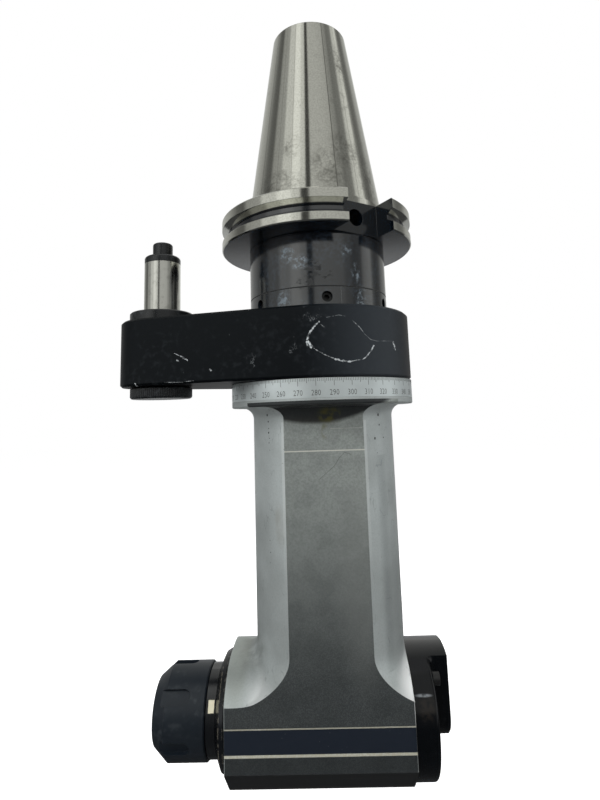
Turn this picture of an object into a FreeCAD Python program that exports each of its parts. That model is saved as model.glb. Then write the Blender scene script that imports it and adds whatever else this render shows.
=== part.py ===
import FreeCAD, Part
import math
import os
import re

import Sketcher

# Right angle head: a steep taper shank drives a shaft down a cast housing, and a pair of equal
# bevel gears turns the motion onto a cross spindle with a collet nut. The stop arm and its pin
# hold the housing still against the machine.
# Millimetres. The origin is the centre of the taper's gauge line, +Z runs towards the taper's
# small end and -X towards the collet. Every drop is measured down from the gauge line.

SIZES = [
    ("gauge_radius", 34.925, "taper at the gauge line"),
    ("taper_length", 101.6, "gauge line to small end"),
    ("taper_ratio", 0.2916667, "taper on diameter, 7 in 24"),
    ("stud_bore_radius", 11.1, "tapped hole for the pull stud, minor radius"),
    ("stud_bore_depth", 45, "depth of that hole"),
    ("stud_pilot_radius", 13.1, "counterbore that centres the stud"),
    ("stud_pilot_depth", 6.4, "depth of the counterbore"),
    ("flange_drop", 3.18, "gauge line to flange"),
    ("flange_height", 15.87, "flange, rim to rim"),
    ("flange_radius", 49.215, "flange"),
    ("rim_chamfer", 0.6, "chamfer on the flange rims"),
    ("groove_drop", 11.4, "centre of the gripper groove"),
    ("groove_mouth", 6.8, "gripper groove at the rim"),
    ("groove_floor", 2.0, "flat at the groove's bottom"),
    ("slot_width", 25.4, "drive slot"),
    ("slot_floor", 35.3, "drive slot floor from the axis"),
    ("slot_turn", 32.3, "drive slots' angle from the front"),
    ("slot_hole_radius", 4.2, "blind hole in the slot floor"),
    ("slot_hole_depth", 9, "depth of that hole"),
    ("neck_radius", 35, "shank below the flange"),
    ("neck_length", 25.95, "shank below the flange, length"),
    ("neck_relief", 0.6, "bevel at the neck's top"),
    ("spigot_radius", 27.5, "spigot for the timing ring and the seal"),
    ("shoulder_radius", 20.5, "shoulder on the upper bearings"),
    ("upper_journal", 17.5, "journal in the upper bearings"),
    ("input_radius", 12, "input shaft"),
    ("input_grip", 40, "input shaft inside the shank"),
    ("input_collar", 14.5, "collar above the lower bearing"),
    ("input_collar_height", 3, "that collar's height"),
    ("shank_overhang", 1, "shank below its lock nut"),
    ("fit_gap", 0.02, "radial play of a seated fit"),
    ("running_gap", 0.04, "radial play of a turning fit"),
    ("turning_gap", 0.3, "end play between faces that turn past each other"),
    ("overcut", 5, "how far a cutting tool runs past a face"),
    ("key_share", 0.55, "hexagon of a set screw as a share of its radius"),
    ("timing_height", 10, "timing ring"),
    ("timing_screws", 6, "set screws round the timing ring"),
    ("timing_turn", 6.3, "first set screw's angle from the front"),
    ("timing_screw_radius", 2.5, "set screw in the timing ring"),
    ("timing_screw_length", 5.5, "its length"),
    ("arm_thickness", 32, "stop arm"),
    ("arm_radius", 45, "stop arm's big end"),
    ("arm_end_radius", 19.6, "stop arm's small end"),
    ("pin_reach", 80, "spindle axis to stop pin"),
    ("arm_turn", 5.3, "stop arm's angle from the side"),
    ("arm_edge", 1.0, "broken edges of the arm"),
    ("arm_lid", 1.5, "arm wall above the seal"),
    ("arm_hole_radius", 28.6, "hole in that wall"),
    ("seal_height", 4, "seal between arm and shank"),
    ("seal_radius", 32, "the seal's outside"),
    ("neck_fit_radius", 33, "housing neck inside the arm"),
    ("clamp_circle", 38, "circle of the arm's clamp screws"),
    ("clamp_screws", 4, "clamp screws"),
    ("clamp_turn", 45, "the first one's angle from the arm"),
    ("clamp_screw_radius", 2.5, "clamp screw"),
    ("clamp_head_radius", 4.2, "clamp screw's head"),
    ("clamp_head_height", 5, "its height"),
    ("clamp_head_sink", 5.8, "counterbore for the head"),
    ("tee_mouth", 5.8, "mouth of the round tee slot"),
    ("tee_width", 7.6, "tee slot below its lips"),
    ("tee_lip", 2.4, "lips of the tee slot"),
    ("tee_depth", 3.4, "tee slot below its lips, height"),
    ("tee_nut_angle", 16, "tee nut, angle it covers"),
    ("tee_gap", 0.3, "play of the tee nuts"),
    ("scale_seat_radius", 43.4, "housing inside the graduated ring"),
    ("scale_height", 8.4, "graduated ring"),
    ("scale_screws", 2, "radial screws of the graduated ring"),
    ("scale_screw_radius", 1.4, "radial screw"),
    ("scale_screw_length", 3, "its length"),
    ("scale_screw_rise", 3.9, "its height in the ring"),
    ("scale_screw_turn", -80, "first radial screw's angle from the front"),
    ("lip_height", 2.9, "housing flange under the graduated ring"),
    ("lip_cove", 5.5, "cove under that flange"),
    ("lip_round", 0.8, "round on its edge"),
    ("column_radius", 34.45, "cast column"),
    ("flat_depth", 29.5, "machined faces from the axis"),
    ("retainer_height", 3, "ring that holds the upper bearings"),
    ("upper_bearing_radius", 27.5, "upper bearings, outside"),
    ("upper_bearing_width", 10, "each upper bearing"),
    ("lock_nut_radius", 22, "lock nut on the shank"),
    ("lock_nut_height", 5, "its height"),
    ("lock_nut_room", 24, "housing bore round the lock nut"),
    ("lower_bearing_radius", 21, "lower bearing, outside"),
    ("lower_bearing_bore", 12.5, "lower bearing, inside"),
    ("lower_bearing_width", 9, "lower bearing"),
    ("circlip_width", 1.3, "circlips beside the lower bearing"),
    ("circlip_depth", 0.9, "their grooves"),
    ("circlip_height", 2.6, "their radial height"),
    ("bearing_balls", 10, "balls in each bearing ring"),
    ("ball_share", 0.27, "ball radius as a share of a bearing's section"),
    ("land_share", 0.3, "ring thickness as a share of that section"),
    ("axis_drop", 237.5, "cross spindle's axis"),
    ("head_left", 46, "head's collet face from the shank axis"),
    ("head_right", 33.8, "head's cover face from the shank axis"),
    ("head_top", 27, "head's top above the spindle axis"),
    ("head_half", 34, "half the cast head, front to back"),
    ("head_round", 28, "round on the head's upper edges"),
    ("head_bevel_drop", 10.75, "spindle axis to the lower bevel on the front"),
    ("head_belly", 25.1, "round under the head"),
    ("cove_radius", 20, "cove from column to head"),
    ("cove_foot", 13, "foot of the cove above the spindle axis"),
    ("head_crease", 5, "blend where the cove meets the head, collet side"),
    ("cover_crease", 4, "the same blend on the cover side"),
    ("head_edge", 0.4, "broken edges of the head's ends"),
    ("flat_start", 0.7, "machined faces below the flange"),
    ("band_top", 6.6, "upper edge of the front channel above the spindle axis"),
    ("band_height", 11.1, "front channel"),
    ("band_depth", 0.6, "its depth"),
    ("band_bevel", 1.0, "its bevelled edges"),
    ("gear_teeth", 25, "teeth of each bevel gear"),
    ("gear_module", 1.5, "module at the large end"),
    ("gear_face", 8, "face width"),
    ("gear_hub_radius", 14.5, "gear hub"),
    ("gear_hub_back", 32, "drive gear's hub end from the spindle axis"),
    ("output_hub_back", 25, "output gear's hub end from the shank axis"),
    ("gear_backlash", 0.16, "backlash at the large end"),
    ("pressure_angle", 20, "pressure angle of the teeth"),
    ("dedendum_share", 1.25, "tooth below the pitch cone, in modules"),
    ("drive_seat_radius", 9, "drive gear's seat on the shaft"),
    ("gear_key_width", 5, "keys in both gears"),
    ("gear_key_height", 4, "their height"),
    ("gear_key_inset", 1.5, "both ends of a key from the ends of its hub"),
    ("input_key_width", 8, "key between shank and input shaft"),
    ("input_key_height", 7, "its height"),
    ("input_key_length", 22, "its length"),
    ("gear_washer_radius", 11, "washer face of the drive gear's screw"),
    ("gear_washer_height", 1.4, "its height"),
    ("gear_screw_head", 7.5, "head of that screw"),
    ("gear_screw_height", 1.9, "its height"),
    ("gear_screw_radius", 3, "the screw itself"),
    ("gear_screw_length", 14, "its length"),
    ("front_bearing_radius", 23.5, "front bearings, outside"),
    ("front_bearing_bore", 12.5, "front bearings, inside"),
    ("front_bearing_width", 12, "each front bearing"),
    ("front_bearing_sink", 1.5, "head face to front bearings"),
    ("cavity_radius", 21.5, "cross bore round the gears"),
    ("cap_radius", 24.6, "front bearing cap"),
    ("cap_rim", 1.6, "cylindrical part of the cap"),
    ("cap_shoulder", 3.6, "head face to the edge of the cap's face"),
    ("cap_shoulder_radius", 23.5, "cap at that edge"),
    ("cap_length", 5.5, "cap, outside the head"),
    ("cap_nose_radius", 19.5, "small end of the cap's cone"),
    ("cap_hole_radius", 1.2, "spanner holes in the cap's cone"),
    ("cap_hole_circle", 21.6, "their circle"),
    ("cap_hole_depth", 3, "their depth from the cap's face"),
    ("cap_hole_count", 4, "how many"),
    ("front_seal_radius", 19, "seal in the cap"),
    ("front_seal_length", 4, "its length"),
    ("spindle_seal_radius", 14.5, "spindle inside the seal"),
    ("collar_radius", 18.75, "spindle collar behind the nut"),
    ("collar_length", 4.2, "its length"),
    ("collar_flat", 18.55, "its flats from the axis"),
    ("collar_flat_count", 6, "how many flats"),
    ("collar_turn", 28.5, "first flat's angle above the front"),
    ("nose_radius", 16, "threaded nose"),
    ("nose_length", 18.2, "its length"),
    ("collet_mouth", 12.7, "collet seat at the nose"),
    ("collet_slope", 8, "collet seat's half angle"),
    ("collet_seat_length", 30, "collet seat"),
    ("drawhole_radius", 7.5, "hole behind the collet seat"),
    ("drawhole_length", 6, "its length"),
    ("coolant_radius", 3, "coolant bore"),
    ("spindle_radius", 10, "spindle through the gears"),
    ("spindle_nut_radius", 15, "lock nut behind the front bearings"),
    ("spindle_nut_width", 3, "its width"),
    ("rear_bearing_radius", 18.5, "rear bearing, outside"),
    ("rear_bearing_width", 9, "rear bearing"),
    ("clip_width", 1.2, "circlips on the spindle"),
    ("clip_radius", 11.5, "their outside"),
    ("clip_depth", 0.4, "depth of their grooves"),
    ("tail_radius", 7, "spindle tail in the coolant bush"),
    ("tail_length", 5.5, "its length"),
    ("cover_radius", 27.7, "rear cover"),
    ("cover_thickness", 10.2, "its flange"),
    ("cover_round", 1.5, "round on its edge"),
    ("boss_height", 8.2, "boss on the cover"),
    ("boss_radius", 11, "half the boss's width"),
    ("boss_blend", 2.4, "blend at the boss's foot"),
    ("boss_edge", 0.6, "broken edges of the boss"),
    ("boss_wall", 2.7, "boss wall in front of the coolant chamber"),
    ("spigot_lead", 3, "cover's spigot beyond the rear bearing"),
    ("bush_radius", 13, "coolant bush, outside"),
    ("bush_length", 4.8, "its length"),
    ("chamber_radius", 5, "coolant chamber in the boss"),
    ("passage_radius", 2.6, "coolant passage in the boss"),
    ("plug_radius", 4, "plug that closes the passage"),
    ("plug_length", 4, "its length"),
    ("plug_sink", 1, "boss face to the plug's seat beyond its length"),
    ("cover_screw_circle", 24.2, "their circle"),
    ("cover_screw_turn", 48.8, "their angle above and below the front"),
    ("cover_screw_radius", 1.5, "cover screw"),
    ("cover_head_radius", 2.75, "cover screw's head"),
    ("cover_head_height", 3, "its height"),
    ("cover_screw_bite", 8, "cover screw in the housing"),
    ("head_play", 0.2, "play round and under sunk screw heads"),
    ("nut_radius", 19.7, "collet nut"),
    ("nut_front", 80.6, "nut's front face from the shank axis"),
    ("nut_bevel_length", 6.4, "nut's front bevel"),
    ("nut_front_radius", 14.4, "nut's front face"),
    ("nut_cone_gap", 0.06, "play between the nut's cone and the collet"),
    ("nut_head_gap", 0.3, "play round the collet's head"),
    ("nut_slots", 6, "wrench slots"),
    ("nut_slot_width", 6.2, "wrench slot"),
    ("nut_slot_length", 17.4, "slot's round end from the nut's front"),
    ("nut_slot_floor", 17.6, "slot floor from the axis"),
    ("nut_slot_turn", 39, "first slot's angle above the front"),
    ("collet_length", 32, "collet"),
    ("collet_head_radius", 13.0, "collet's head"),
    ("collet_head_length", 2.4, "its cylindrical part"),
    ("collet_bore", 5, "collet bore"),
    ("collet_nose_length", 2.7, "collet's front cone"),
    ("collet_nose_radius", 11.44, "collet's front face"),
    ("collet_slits", 6, "slits from each end"),
    ("collet_slit_width", 1, "slit"),
    ("collet_slit_end", 5, "solid ring left at each end"),
    ("collet_slit_turn", 15, "first slit's angle from the front"),
    ("collar_flange_radius", 15.7, "collar of the stop pin"),
    ("collar_flange_height", 5, "its height"),
    ("collar_body_radius", 12, "collar inside the arm"),
    ("collar_body_length", 22, "its length"),
    ("sleeve_radius", 9, "stop pin sleeve"),
    ("sleeve_bore", 6, "sleeve, inside"),
    ("sleeve_height", 26, "sleeve above its collar"),
    ("sleeve_root", 7.5, "sleeve inside the collar"),
    ("sleeve_cap_height", 3.9, "black cap on the sleeve"),
    ("sleeve_cap_round", 1.6, "round on that cap"),
    ("tip_radius", 5, "plunger tip"),
    ("tip_height", 7.2, "plunger tip above the cap"),
    ("tip_round", 1.2, "round on the tip"),
    ("plunger_step", 5.8, "plunger's stop collar"),
    ("plunger_step_height", 5, "its height"),
    ("plunger_stem", 2.5, "plunger's stem in the spring"),
    ("stem_length", 24, "plunger stem in the spring"),
    ("spring_wire", 0.8, "spring wire, radius"),
    ("spring_radius", 4.2, "spring, centre of the wire"),
    ("spring_coils", 7, "coils"),
    ("thumb_radius", 15, "knurled cap under the arm"),
    ("thumb_height", 5.4, "its height"),
    ("thumb_chamfer", 0.6, "chamfer on its upper edge"),
    ("thumb_round", 1.3, "round on its lower edge"),
    ("thumb_notches", 90, "knurl notches"),
    ("thumb_notch_radius", 0.4, "knurl notch"),
    ("thumb_notch_out", 0.15, "notch centres beyond its rim"),
    ("thumb_plug_radius", 6.8, "thread of the cap in the sleeve"),
    ("thumb_plug_height", 7, "its height"),
]

# Levels and lengths that follow from the sizes above.
DERIVED = {
    "small_radius": "gauge_radius - taper_length * taper_ratio / 2",
    "flange_bottom": "flange_drop + flange_height",
    "groove_floor_radius": "flange_radius - (groove_mouth - groove_floor) / 2 / tan(30)",
    "neck_bottom": "flange_bottom + neck_length",
    "timing_bottom": "neck_bottom + timing_height",
    "arm_top": "timing_bottom + turning_gap",
    "arm_bottom": "arm_top + arm_thickness",
    "seal_top": "arm_top + arm_lid",
    "seal_bottom": "seal_top + seal_height",
    "housing_top": "seal_bottom + turning_gap",
    "upper_seat": "housing_top + retainer_height",
    "upper_foot": "upper_seat + 2 * upper_bearing_width",
    "lock_nut_foot": "upper_foot + lock_nut_height",
    "shank_end": "lock_nut_foot + shank_overhang",
    "input_top": "shank_end - input_grip",
    "scale_top": "arm_bottom + turning_gap",
    "scale_bottom": "scale_top + scale_height",
    "lip_bottom": "scale_bottom + lip_height",
    "lower_foot": "axis_drop - gear_hub_back",
    "lower_seat": "lower_foot - lower_bearing_width",
    "collar_seat": "lower_seat - input_collar_height",
    "pitch_radius": "gear_teeth * gear_module / 2",
    "shaft_end": "axis_drop - pitch_radius * 0.75 - 1",
    "front_seat": "head_left - front_bearing_sink",
    "front_foot": "front_seat - 2 * front_bearing_width",
    "cap_front": "head_left + cap_length",
    "collar_back": "cap_front + turning_gap",
    "nut_back": "collar_back + collar_length + turning_gap",
    "nose_front": "collar_back + collar_length + nose_length",
    "collet_end_radius": "collet_mouth - collet_seat_length * tan(collet_slope)",
    "gear_small_face": "axis_drop - (pitch_radius + 1.25 * gear_module * sqrt(0.5))"
                       " * (1 - gear_face / pitch_radius / sqrt(2))",
    "tee_in": "clamp_circle - tee_width / 2",
    "tee_out": "clamp_circle + tee_width / 2",
    "mouth_in": "clamp_circle - tee_mouth / 2",
    "mouth_out": "clamp_circle + tee_mouth / 2",
    "tee_top": "scale_top + tee_lip",
    "tee_floor": "tee_top + tee_depth",
    "cove_level": "axis_drop - cove_foot - cove_radius",
    "collet_head_face": "nose_front + turning_gap / 3",
    "collet_front": "collet_head_face + collet_head_length + collet_nose_length",
    "nut_cone_slope": "(collet_head_radius - collet_nose_radius) / collet_nose_length",
    "rear_seat": "output_hub_back",
    "rear_foot": "rear_seat + rear_bearing_width",
    "tail_start": "rear_foot + clip_width + turning_gap",
    "tail_end": "tail_start + tail_length",
    "cover_face": "head_right + cover_thickness",
    "boss_face": "cover_face + boss_height",
    "bush_end": "tail_end + turning_gap / 3",
    "seal_front": "front_seat + front_seal_length",
    "collar_front": "collar_back + collar_length",
    "seat_end": "nose_front - collet_seat_length",
    "gear_front": "axis_drop - gear_small_face",
    "gear_key_start": "pitch_radius + gear_key_inset",
    "gear_key_length": "output_hub_back - pitch_radius - 2 * gear_key_inset",
    "collar_top": "arm_top - collar_flange_height",
    "sleeve_top": "collar_top - sleeve_height",
    "cap_top": "sleeve_top - sleeve_cap_height",
    "tip_top": "cap_top - tip_height",
    "thumb_top": "arm_bottom + turning_gap",
    "thumb_bottom": "thumb_top + thumb_height",
    "step_top": "sleeve_top + turning_gap / 2",
    "step_bottom": "step_top + plunger_step_height",
    "plug_top": "thumb_top - thumb_plug_height",
}
FUNCTIONS = {"tan", "sin", "cos", "sqrt"}
X_AXIS, Y_AXIS, Z_AXIS = FreeCAD.Vector(1, 0, 0), FreeCAD.Vector(0, 1, 0), FreeCAD.Vector(0, 0, 1)
ALONG_X = FreeCAD.Rotation(Y_AXIS, 90)
ALONG_FRONT = FreeCAD.Rotation(X_AXIS, 90)
ALONG_BACK = FreeCAD.Rotation(X_AXIS, -90)
UPRIGHT = FreeCAD.Rotation()
SIDEWAYS = FreeCAD.Rotation(Z_AXIS, 90)

doc = FreeCAD.newDocument("right_angle_head")
sheet = doc.addObject("Spreadsheet::Sheet", "Sizes")
for row, (alias, value, meaning) in enumerate(SIZES, start=1):
    sheet.set(f"A{row}", meaning)
    sheet.set(f"B{row}", str(value))
    sheet.setAlias(f"B{row}", alias)
doc.recompute()
nodes = {}


def size(alias):
    """The number in one cell of the sheet."""
    return float(sheet.get(alias))


def on_sheet(expression):
    """An expression in size names, written out for the sheet."""
    def swap(match):
        name = match.group(0)
        if name in FUNCTIONS:
            return name
        if name in DERIVED:
            return "(" + on_sheet(DERIVED[name]) + ")"
        return "Sizes." + name
    return re.sub(r"[A-Za-z_]\w*", swap, str(expression))


def bind(item, **expressions):
    """Binds properties of an object to sizes."""
    for name, expression in expressions.items():
        item.setExpression(name, on_sheet(expression))
    return item


def place(item, at=(0, 0, 0), rotation=UPRIGHT):
    """Puts an object at a point given in sizes, with a fixed rotation."""
    item.Placement = FreeCAD.Placement(FreeCAD.Vector(), rotation)
    for letter, expression in zip("xyz", at):
        if expression != 0:
            item.setExpression(f"Placement.Base.{letter}", on_sheet(expression))
    return item


def turn(item, angle, axis=Z_AXIS):
    """Turns an object about an axis of its own by an angle given in sizes."""
    item.Placement = FreeCAD.Placement(FreeCAD.Vector(), FreeCAD.Rotation(axis, 1))
    item.setExpression("Placement.Rotation.Angle", on_sheet(angle))
    return item


def node(item, name):
    """Names a finished sub-part."""
    item.Label = name
    nodes[name] = item
    return item


def own_plane(body, role):
    """One of a body's own origin planes or axes."""
    return next(item for item in body.Origin.OriginFeatures if item.Role == role)


def sketch_in(body, name, plane):
    """An empty sketch on one of the body's own planes."""
    sketch = body.newObject("Sketcher::SketchObject", name)
    sketch.AttachmentSupport = [(own_plane(body, plane), "")]
    sketch.MapMode = "FlatFace"
    return sketch


def pin_point(sketch, geometry, end, x, y):
    """Fixes one point of a sketch at two coordinates given in sizes."""
    for kind, axis, expression in (("DistanceX", -2, x), ("DistanceY", -1, y)):
        if expression == 0:
            sketch.addConstraint(Sketcher.Constraint("PointOnObject", geometry, end, axis))
            continue
        index = sketch.addConstraint(Sketcher.Constraint(kind, -1, 1, geometry, end, 1.0))
        sketch.setExpression(f"Constraints[{index}]", on_sheet(expression))


def polygon(body, name, plane, corners):
    """A closed sketch of straight lines through corners given in sizes."""
    sketch = sketch_in(body, name, plane)
    count = len(corners)
    step = 2 * math.pi / count
    start = [FreeCAD.Vector(40 * math.cos(i * step), 40 * math.sin(i * step)) for i in range(count)]
    for i in range(count):
        sketch.addGeometry(Part.LineSegment(start[i], start[(i + 1) % count]))
    for i in range(count):
        sketch.addConstraint(Sketcher.Constraint("Coincident", i, 2, (i + 1) % count, 1))
    for i, (x, y) in enumerate(corners):
        pin_point(sketch, i, 1, x, y)
    return sketch


def disc(body, name, plane, x, y, radius):
    """A sketch of one circle."""
    sketch = sketch_in(body, name, plane)
    sketch.addGeometry(Part.Circle(FreeCAD.Vector(1, 1), Z_AXIS, 1))
    index = sketch.addConstraint(Sketcher.Constraint("Radius", 0, 1.0))
    sketch.setExpression(f"Constraints[{index}]", on_sheet(radius))
    pin_point(sketch, 0, 3, x, y)
    return sketch


def feature(body, kind, name, **properties):
    """A feature of a body, with its properties set and the body's tip moved on to it."""
    made = body.newObject("PartDesign::" + kind, name)
    for key, value in properties.items():
        setattr(made, key, value)
    body.Tip = made
    return made


def pattern(body, name, original, axis, occurrences):
    """Repeats a feature evenly round one of the body's own axes."""
    made = body.newObject("PartDesign::PolarPattern", name)
    made.Originals = [original]
    made.Axis = (own_plane(body, axis), [""])
    made.Angle = 360
    bind(made, Occurrences=occurrences)
    body.Tip = made
    return made


def turned(name, corners, axis="V_Axis"):
    """A body turned from a profile; radii run along X for V_Axis and along Z for H_Axis."""
    body = doc.addObject("PartDesign::Body", name)
    profile = polygon(body, name + "_profile", "XZ_Plane", corners)
    feature(body, "Revolution", name + "_turning", Profile=profile,
            ReferenceAxis=(profile, [axis]), Angle=360)
    return body


def ring(name, inner, outer, top, height):
    """A plain turned ring about Z, from its top drop downwards."""
    low = f"-({top} + {height})"
    return turned(name, [(inner, f"-({top})"), (outer, f"-({top})"), (outer, low), (inner, low)])


def cross_ring(name, inner, outer, start, length):
    """A plain turned ring about X on the spindle axis."""
    body = turned(name, [(start, inner), (start, outer), (f"{start} + {length}", outer),
                         (f"{start} + {length}", inner)], "H_Axis")
    return place(body, (0, 0, "-axis_drop"))


def pad(body, name, sketch, foot, height):
    """Builds a sketch up from a drop below its plane."""
    sketch.setExpression("AttachmentOffset.Base.z", on_sheet(f"-({foot})"))
    made = feature(body, "Pad", name, Profile=sketch)
    return bind(made, Length=height)


def sink(body, name, sketch, top, depth):
    """Cuts a sketch down from a drop below its plane."""
    sketch.setExpression("AttachmentOffset.Base.z", on_sheet(f"-({top})"))
    made = feature(body, "Pocket", name, Profile=sketch)
    return bind(made, Length=depth)


def chamfer(body, name, amount, wanted):
    """Breaks the edges of a body that a test picks."""
    doc.recompute()
    base = body.Tip
    picked = [f"Edge{i + 1}" for i, edge in enumerate(base.Shape.Edges) if wanted(edge)]
    made = feature(body, "Chamfer", name, Base=(base, picked))
    return bind(made, Size=amount)


def fillet(body, name, amount, wanted):
    """Rounds the edges of a body that a test picks."""
    doc.recompute()
    base = body.Tip
    picked = [f"Edge{i + 1}" for i, edge in enumerate(base.Shape.Edges) if wanted(edge)]
    made = feature(body, "Fillet", name, Base=(base, picked))
    return bind(made, Radius=amount)


def circle_at(radius, height, axis=Z_AXIS):
    """A test for full circles of one radius at one height along an axis."""
    def wanted(edge):
        curve = edge.Curve
        if curve.TypeId != "Part::GeomCircle" or abs(curve.Radius - radius) > 0.01:
            return False
        return abs(curve.Center.dot(axis) - height) < 0.01
    return wanted


def cylinder(name, radius, height, at=(0, 0, 0), rotation=UPRIGHT):
    item = bind(doc.addObject("Part::Cylinder", name), Radius=radius, Height=height)
    return place(item, at, rotation)


def block(name, length, width, height, at=(0, 0, 0), rotation=UPRIGHT):
    item = bind(doc.addObject("Part::Box", name), Length=length, Width=width, Height=height)
    return place(item, at, rotation)


def hexagon(name, circumradius, height, at=(0, 0, 0), rotation=UPRIGHT):
    item = doc.addObject("Part::Prism", name)
    item.Polygon = 6
    bind(item, Circumradius=circumradius, Height=height)
    return place(item, at, rotation)


def group(name, items):
    """A compound of separate pieces."""
    made = doc.addObject("Part::Compound", name)
    made.Links = items
    return made


def cut(name, base, tool):
    made = doc.addObject("Part::Cut", name)
    made.Base, made.Tool = base, tool
    made.Refine = True
    return made


def fuse(name, items):
    made = doc.addObject("Part::MultiFuse", name)
    made.Shapes = items
    made.Refine = True
    return made


def common(name, items):
    made = doc.addObject("Part::MultiCommon", name)
    made.Shapes = items
    return made


def round_copies(name, item, count_alias, first, axis=Z_AXIS):
    """Copies of one piece, evenly round an axis through the origin."""
    count = int(round(size(count_alias)))
    copies = []
    for i in range(count):
        copy = doc.addObject("Part::Compound", f"{name}_{i + 1}")
        copy.Links = [item]
        turn(copy, f"{first} + {i} * 360 / {count_alias}", axis)
        copies.append(copy)
    return group(name, copies)


def ball_bearing(name, bore, outside, width, start, rings, upright):
    """Inner rings, outer rings and balls of one or more bearings side by side.

    start is the drop of the top face, or the X of the left face on the cross spindle.
    """
    mid = f"(({bore}) + ({outside})) / 2"
    ball = f"(({outside}) - ({bore})) * ball_share"
    land = f"(({outside}) - ({bore})) * land_share"
    parts = {"inner": [], "outer": [], "balls": []}
    for i in range(rings):
        face = f"({start}) + {i} * ({width})"
        centre = f"({face}) + ({width}) / 2"
        for part, low, high in (("inner", f"({bore}) + fit_gap", f"({bore}) + {land}"),
                                ("outer", f"({outside}) - {land}", f"({outside}) - fit_gap")):
            make = ring if upright else cross_ring
            body = make(f"{name}_{part}_{i + 1}", low, high, face, width)
            track = doc.addObject("Part::Torus", f"{name}_{part}_track_{i + 1}")
            bind(track, Radius1=mid, Radius2=f"{ball} + running_gap")
            if upright:
                place(track, (0, 0, f"-({centre})"), SIDEWAYS)
            else:
                place(track, (centre, 0, "-axis_drop"), ALONG_X)
            parts[part].append(cut(f"{name}_{part}_raced_{i + 1}", body, track))
        balls = int(size("bearing_balls"))
        for k in range(balls):
            item = bind(doc.addObject("Part::Sphere", f"{name}_ball_{i + 1}_{k + 1}"), Radius=ball)
            angle = k * 360 / balls
            if upright:
                place(item, (f"{mid} * cos({angle})", f"{mid} * sin({angle})", f"-({centre})"))
            else:
                place(item, (centre, f"{mid} * cos({angle})", f"{mid} * sin({angle}) - axis_drop"))
            parts["balls"].append(item)
    for part, items in parts.items():
        node(group(f"{name}_{part}_set", items), f"{name}_{part}")


# Taper shank: taper, flange with its gripper groove, neck, spigot and bearing journal.
shank = turned("shank_turning", [
    (0, "taper_length - stud_bore_depth"),
    ("stud_bore_radius", "taper_length - stud_bore_depth"),
    ("stud_bore_radius", "taper_length - stud_pilot_depth"),
    ("stud_pilot_radius", "taper_length - stud_pilot_depth"),
    ("stud_pilot_radius", "taper_length"),
    ("small_radius", "taper_length"),
    ("gauge_radius", 0),
    ("gauge_radius", "-flange_drop"),
    ("flange_radius", "-flange_drop"),
    ("flange_radius", "-groove_drop + groove_mouth / 2"),
    ("groove_floor_radius", "-groove_drop + groove_floor / 2"),
    ("groove_floor_radius", "-groove_drop - groove_floor / 2"),
    ("flange_radius", "-groove_drop - groove_mouth / 2"),
    ("flange_radius", "-flange_bottom"),
    ("neck_radius - neck_relief", "-flange_bottom"),
    ("neck_radius", "-(flange_bottom + neck_relief)"),
    ("neck_radius", "-neck_bottom"),
    ("spigot_radius", "-neck_bottom"),
    ("spigot_radius", "-seal_bottom"),
    ("shoulder_radius", "-seal_bottom"),
    ("shoulder_radius", "-upper_seat"),
    ("upper_journal", "-upper_seat"),
    ("upper_journal", "-shank_end"),
    ("input_radius + fit_gap", "-shank_end"),
    ("input_radius + fit_gap", "-(input_top - 1)"),
    (0, "-(input_top - 1)"),
])
flange_low = -(size("flange_drop") + size("flange_height"))
rims = [circle_at(size("flange_radius"), -size("flange_drop")), circle_at(size("flange_radius"), flange_low)]
chamfer(shank, "rim_chamfers", "rim_chamfer", lambda edge: any(test(edge) for test in rims))
slot_sketch = polygon(shank, "slot_sketch", "XY_Plane", [
    ("-slot_width / 2", "-slot_floor"), ("slot_width / 2", "-slot_floor"),
    ("slot_width / 2", "-2 * flange_radius"), ("-slot_width / 2", "-2 * flange_radius")])
slot = feature(shank, "Pocket", "drive_slot", Profile=slot_sketch, Type="ThroughAll", Midplane=True)
pattern(shank, "drive_slots", slot, "Z_Axis", 2)
slot_hole = cylinder("slot_hole", "slot_hole_radius", "2 * slot_hole_depth",
                     (0, "-(slot_floor - slot_hole_depth)", "-(flange_drop + flange_height / 2)"), ALONG_FRONT)
shank_key_way = block("shank_key_way", "input_key_width + 2 * fit_gap", "input_key_height + fit_gap",
                      "input_key_length + 2 * fit_gap",
                      ("-(input_key_width / 2 + fit_gap)", "input_radius - input_key_height / 2 - fit_gap",
                       "-(input_top + input_key_length + fit_gap + 2)"))
shank_cuts = group("shank_cuts", [slot_hole, shank_key_way])
node(turn(cut("shank_cut", shank, shank_cuts), "slot_turn"), "taper_shank")

# Timing ring on the spigot, held by radial set screws.
timing = ring("timing_turning", "spigot_radius + fit_gap", "neck_radius", "neck_bottom", "timing_height")
timing_hole = disc(timing, "timing_hole_sketch", "XZ_Plane", 0, "-(neck_bottom + timing_height / 2)",
                   "timing_screw_radius")
hole = feature(timing, "Pocket", "timing_hole", Profile=timing_hole, Type="ThroughAll", Reversed=True)
pattern(timing, "timing_holes", hole, "Z_Axis", "timing_screws")
node(turn(timing, "timing_turn"), "timing_ring")
grub = cylinder("timing_grub", "timing_screw_radius - fit_gap", "timing_screw_length",
                (0, "-(spigot_radius + fit_gap)", "-(neck_bottom + timing_height / 2)"), ALONG_FRONT)
grub_socket = hexagon("timing_socket", "timing_screw_radius * key_share", "timing_screw_length",
                      (0, "-(spigot_radius + timing_screw_length / 2)",
                       "-(neck_bottom + timing_height / 2)"), ALONG_FRONT)
node(round_copies("timing_screw_set", cut("timing_screw", grub, grub_socket), "timing_screws", "timing_turn"),
     "timing_screws")

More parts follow.
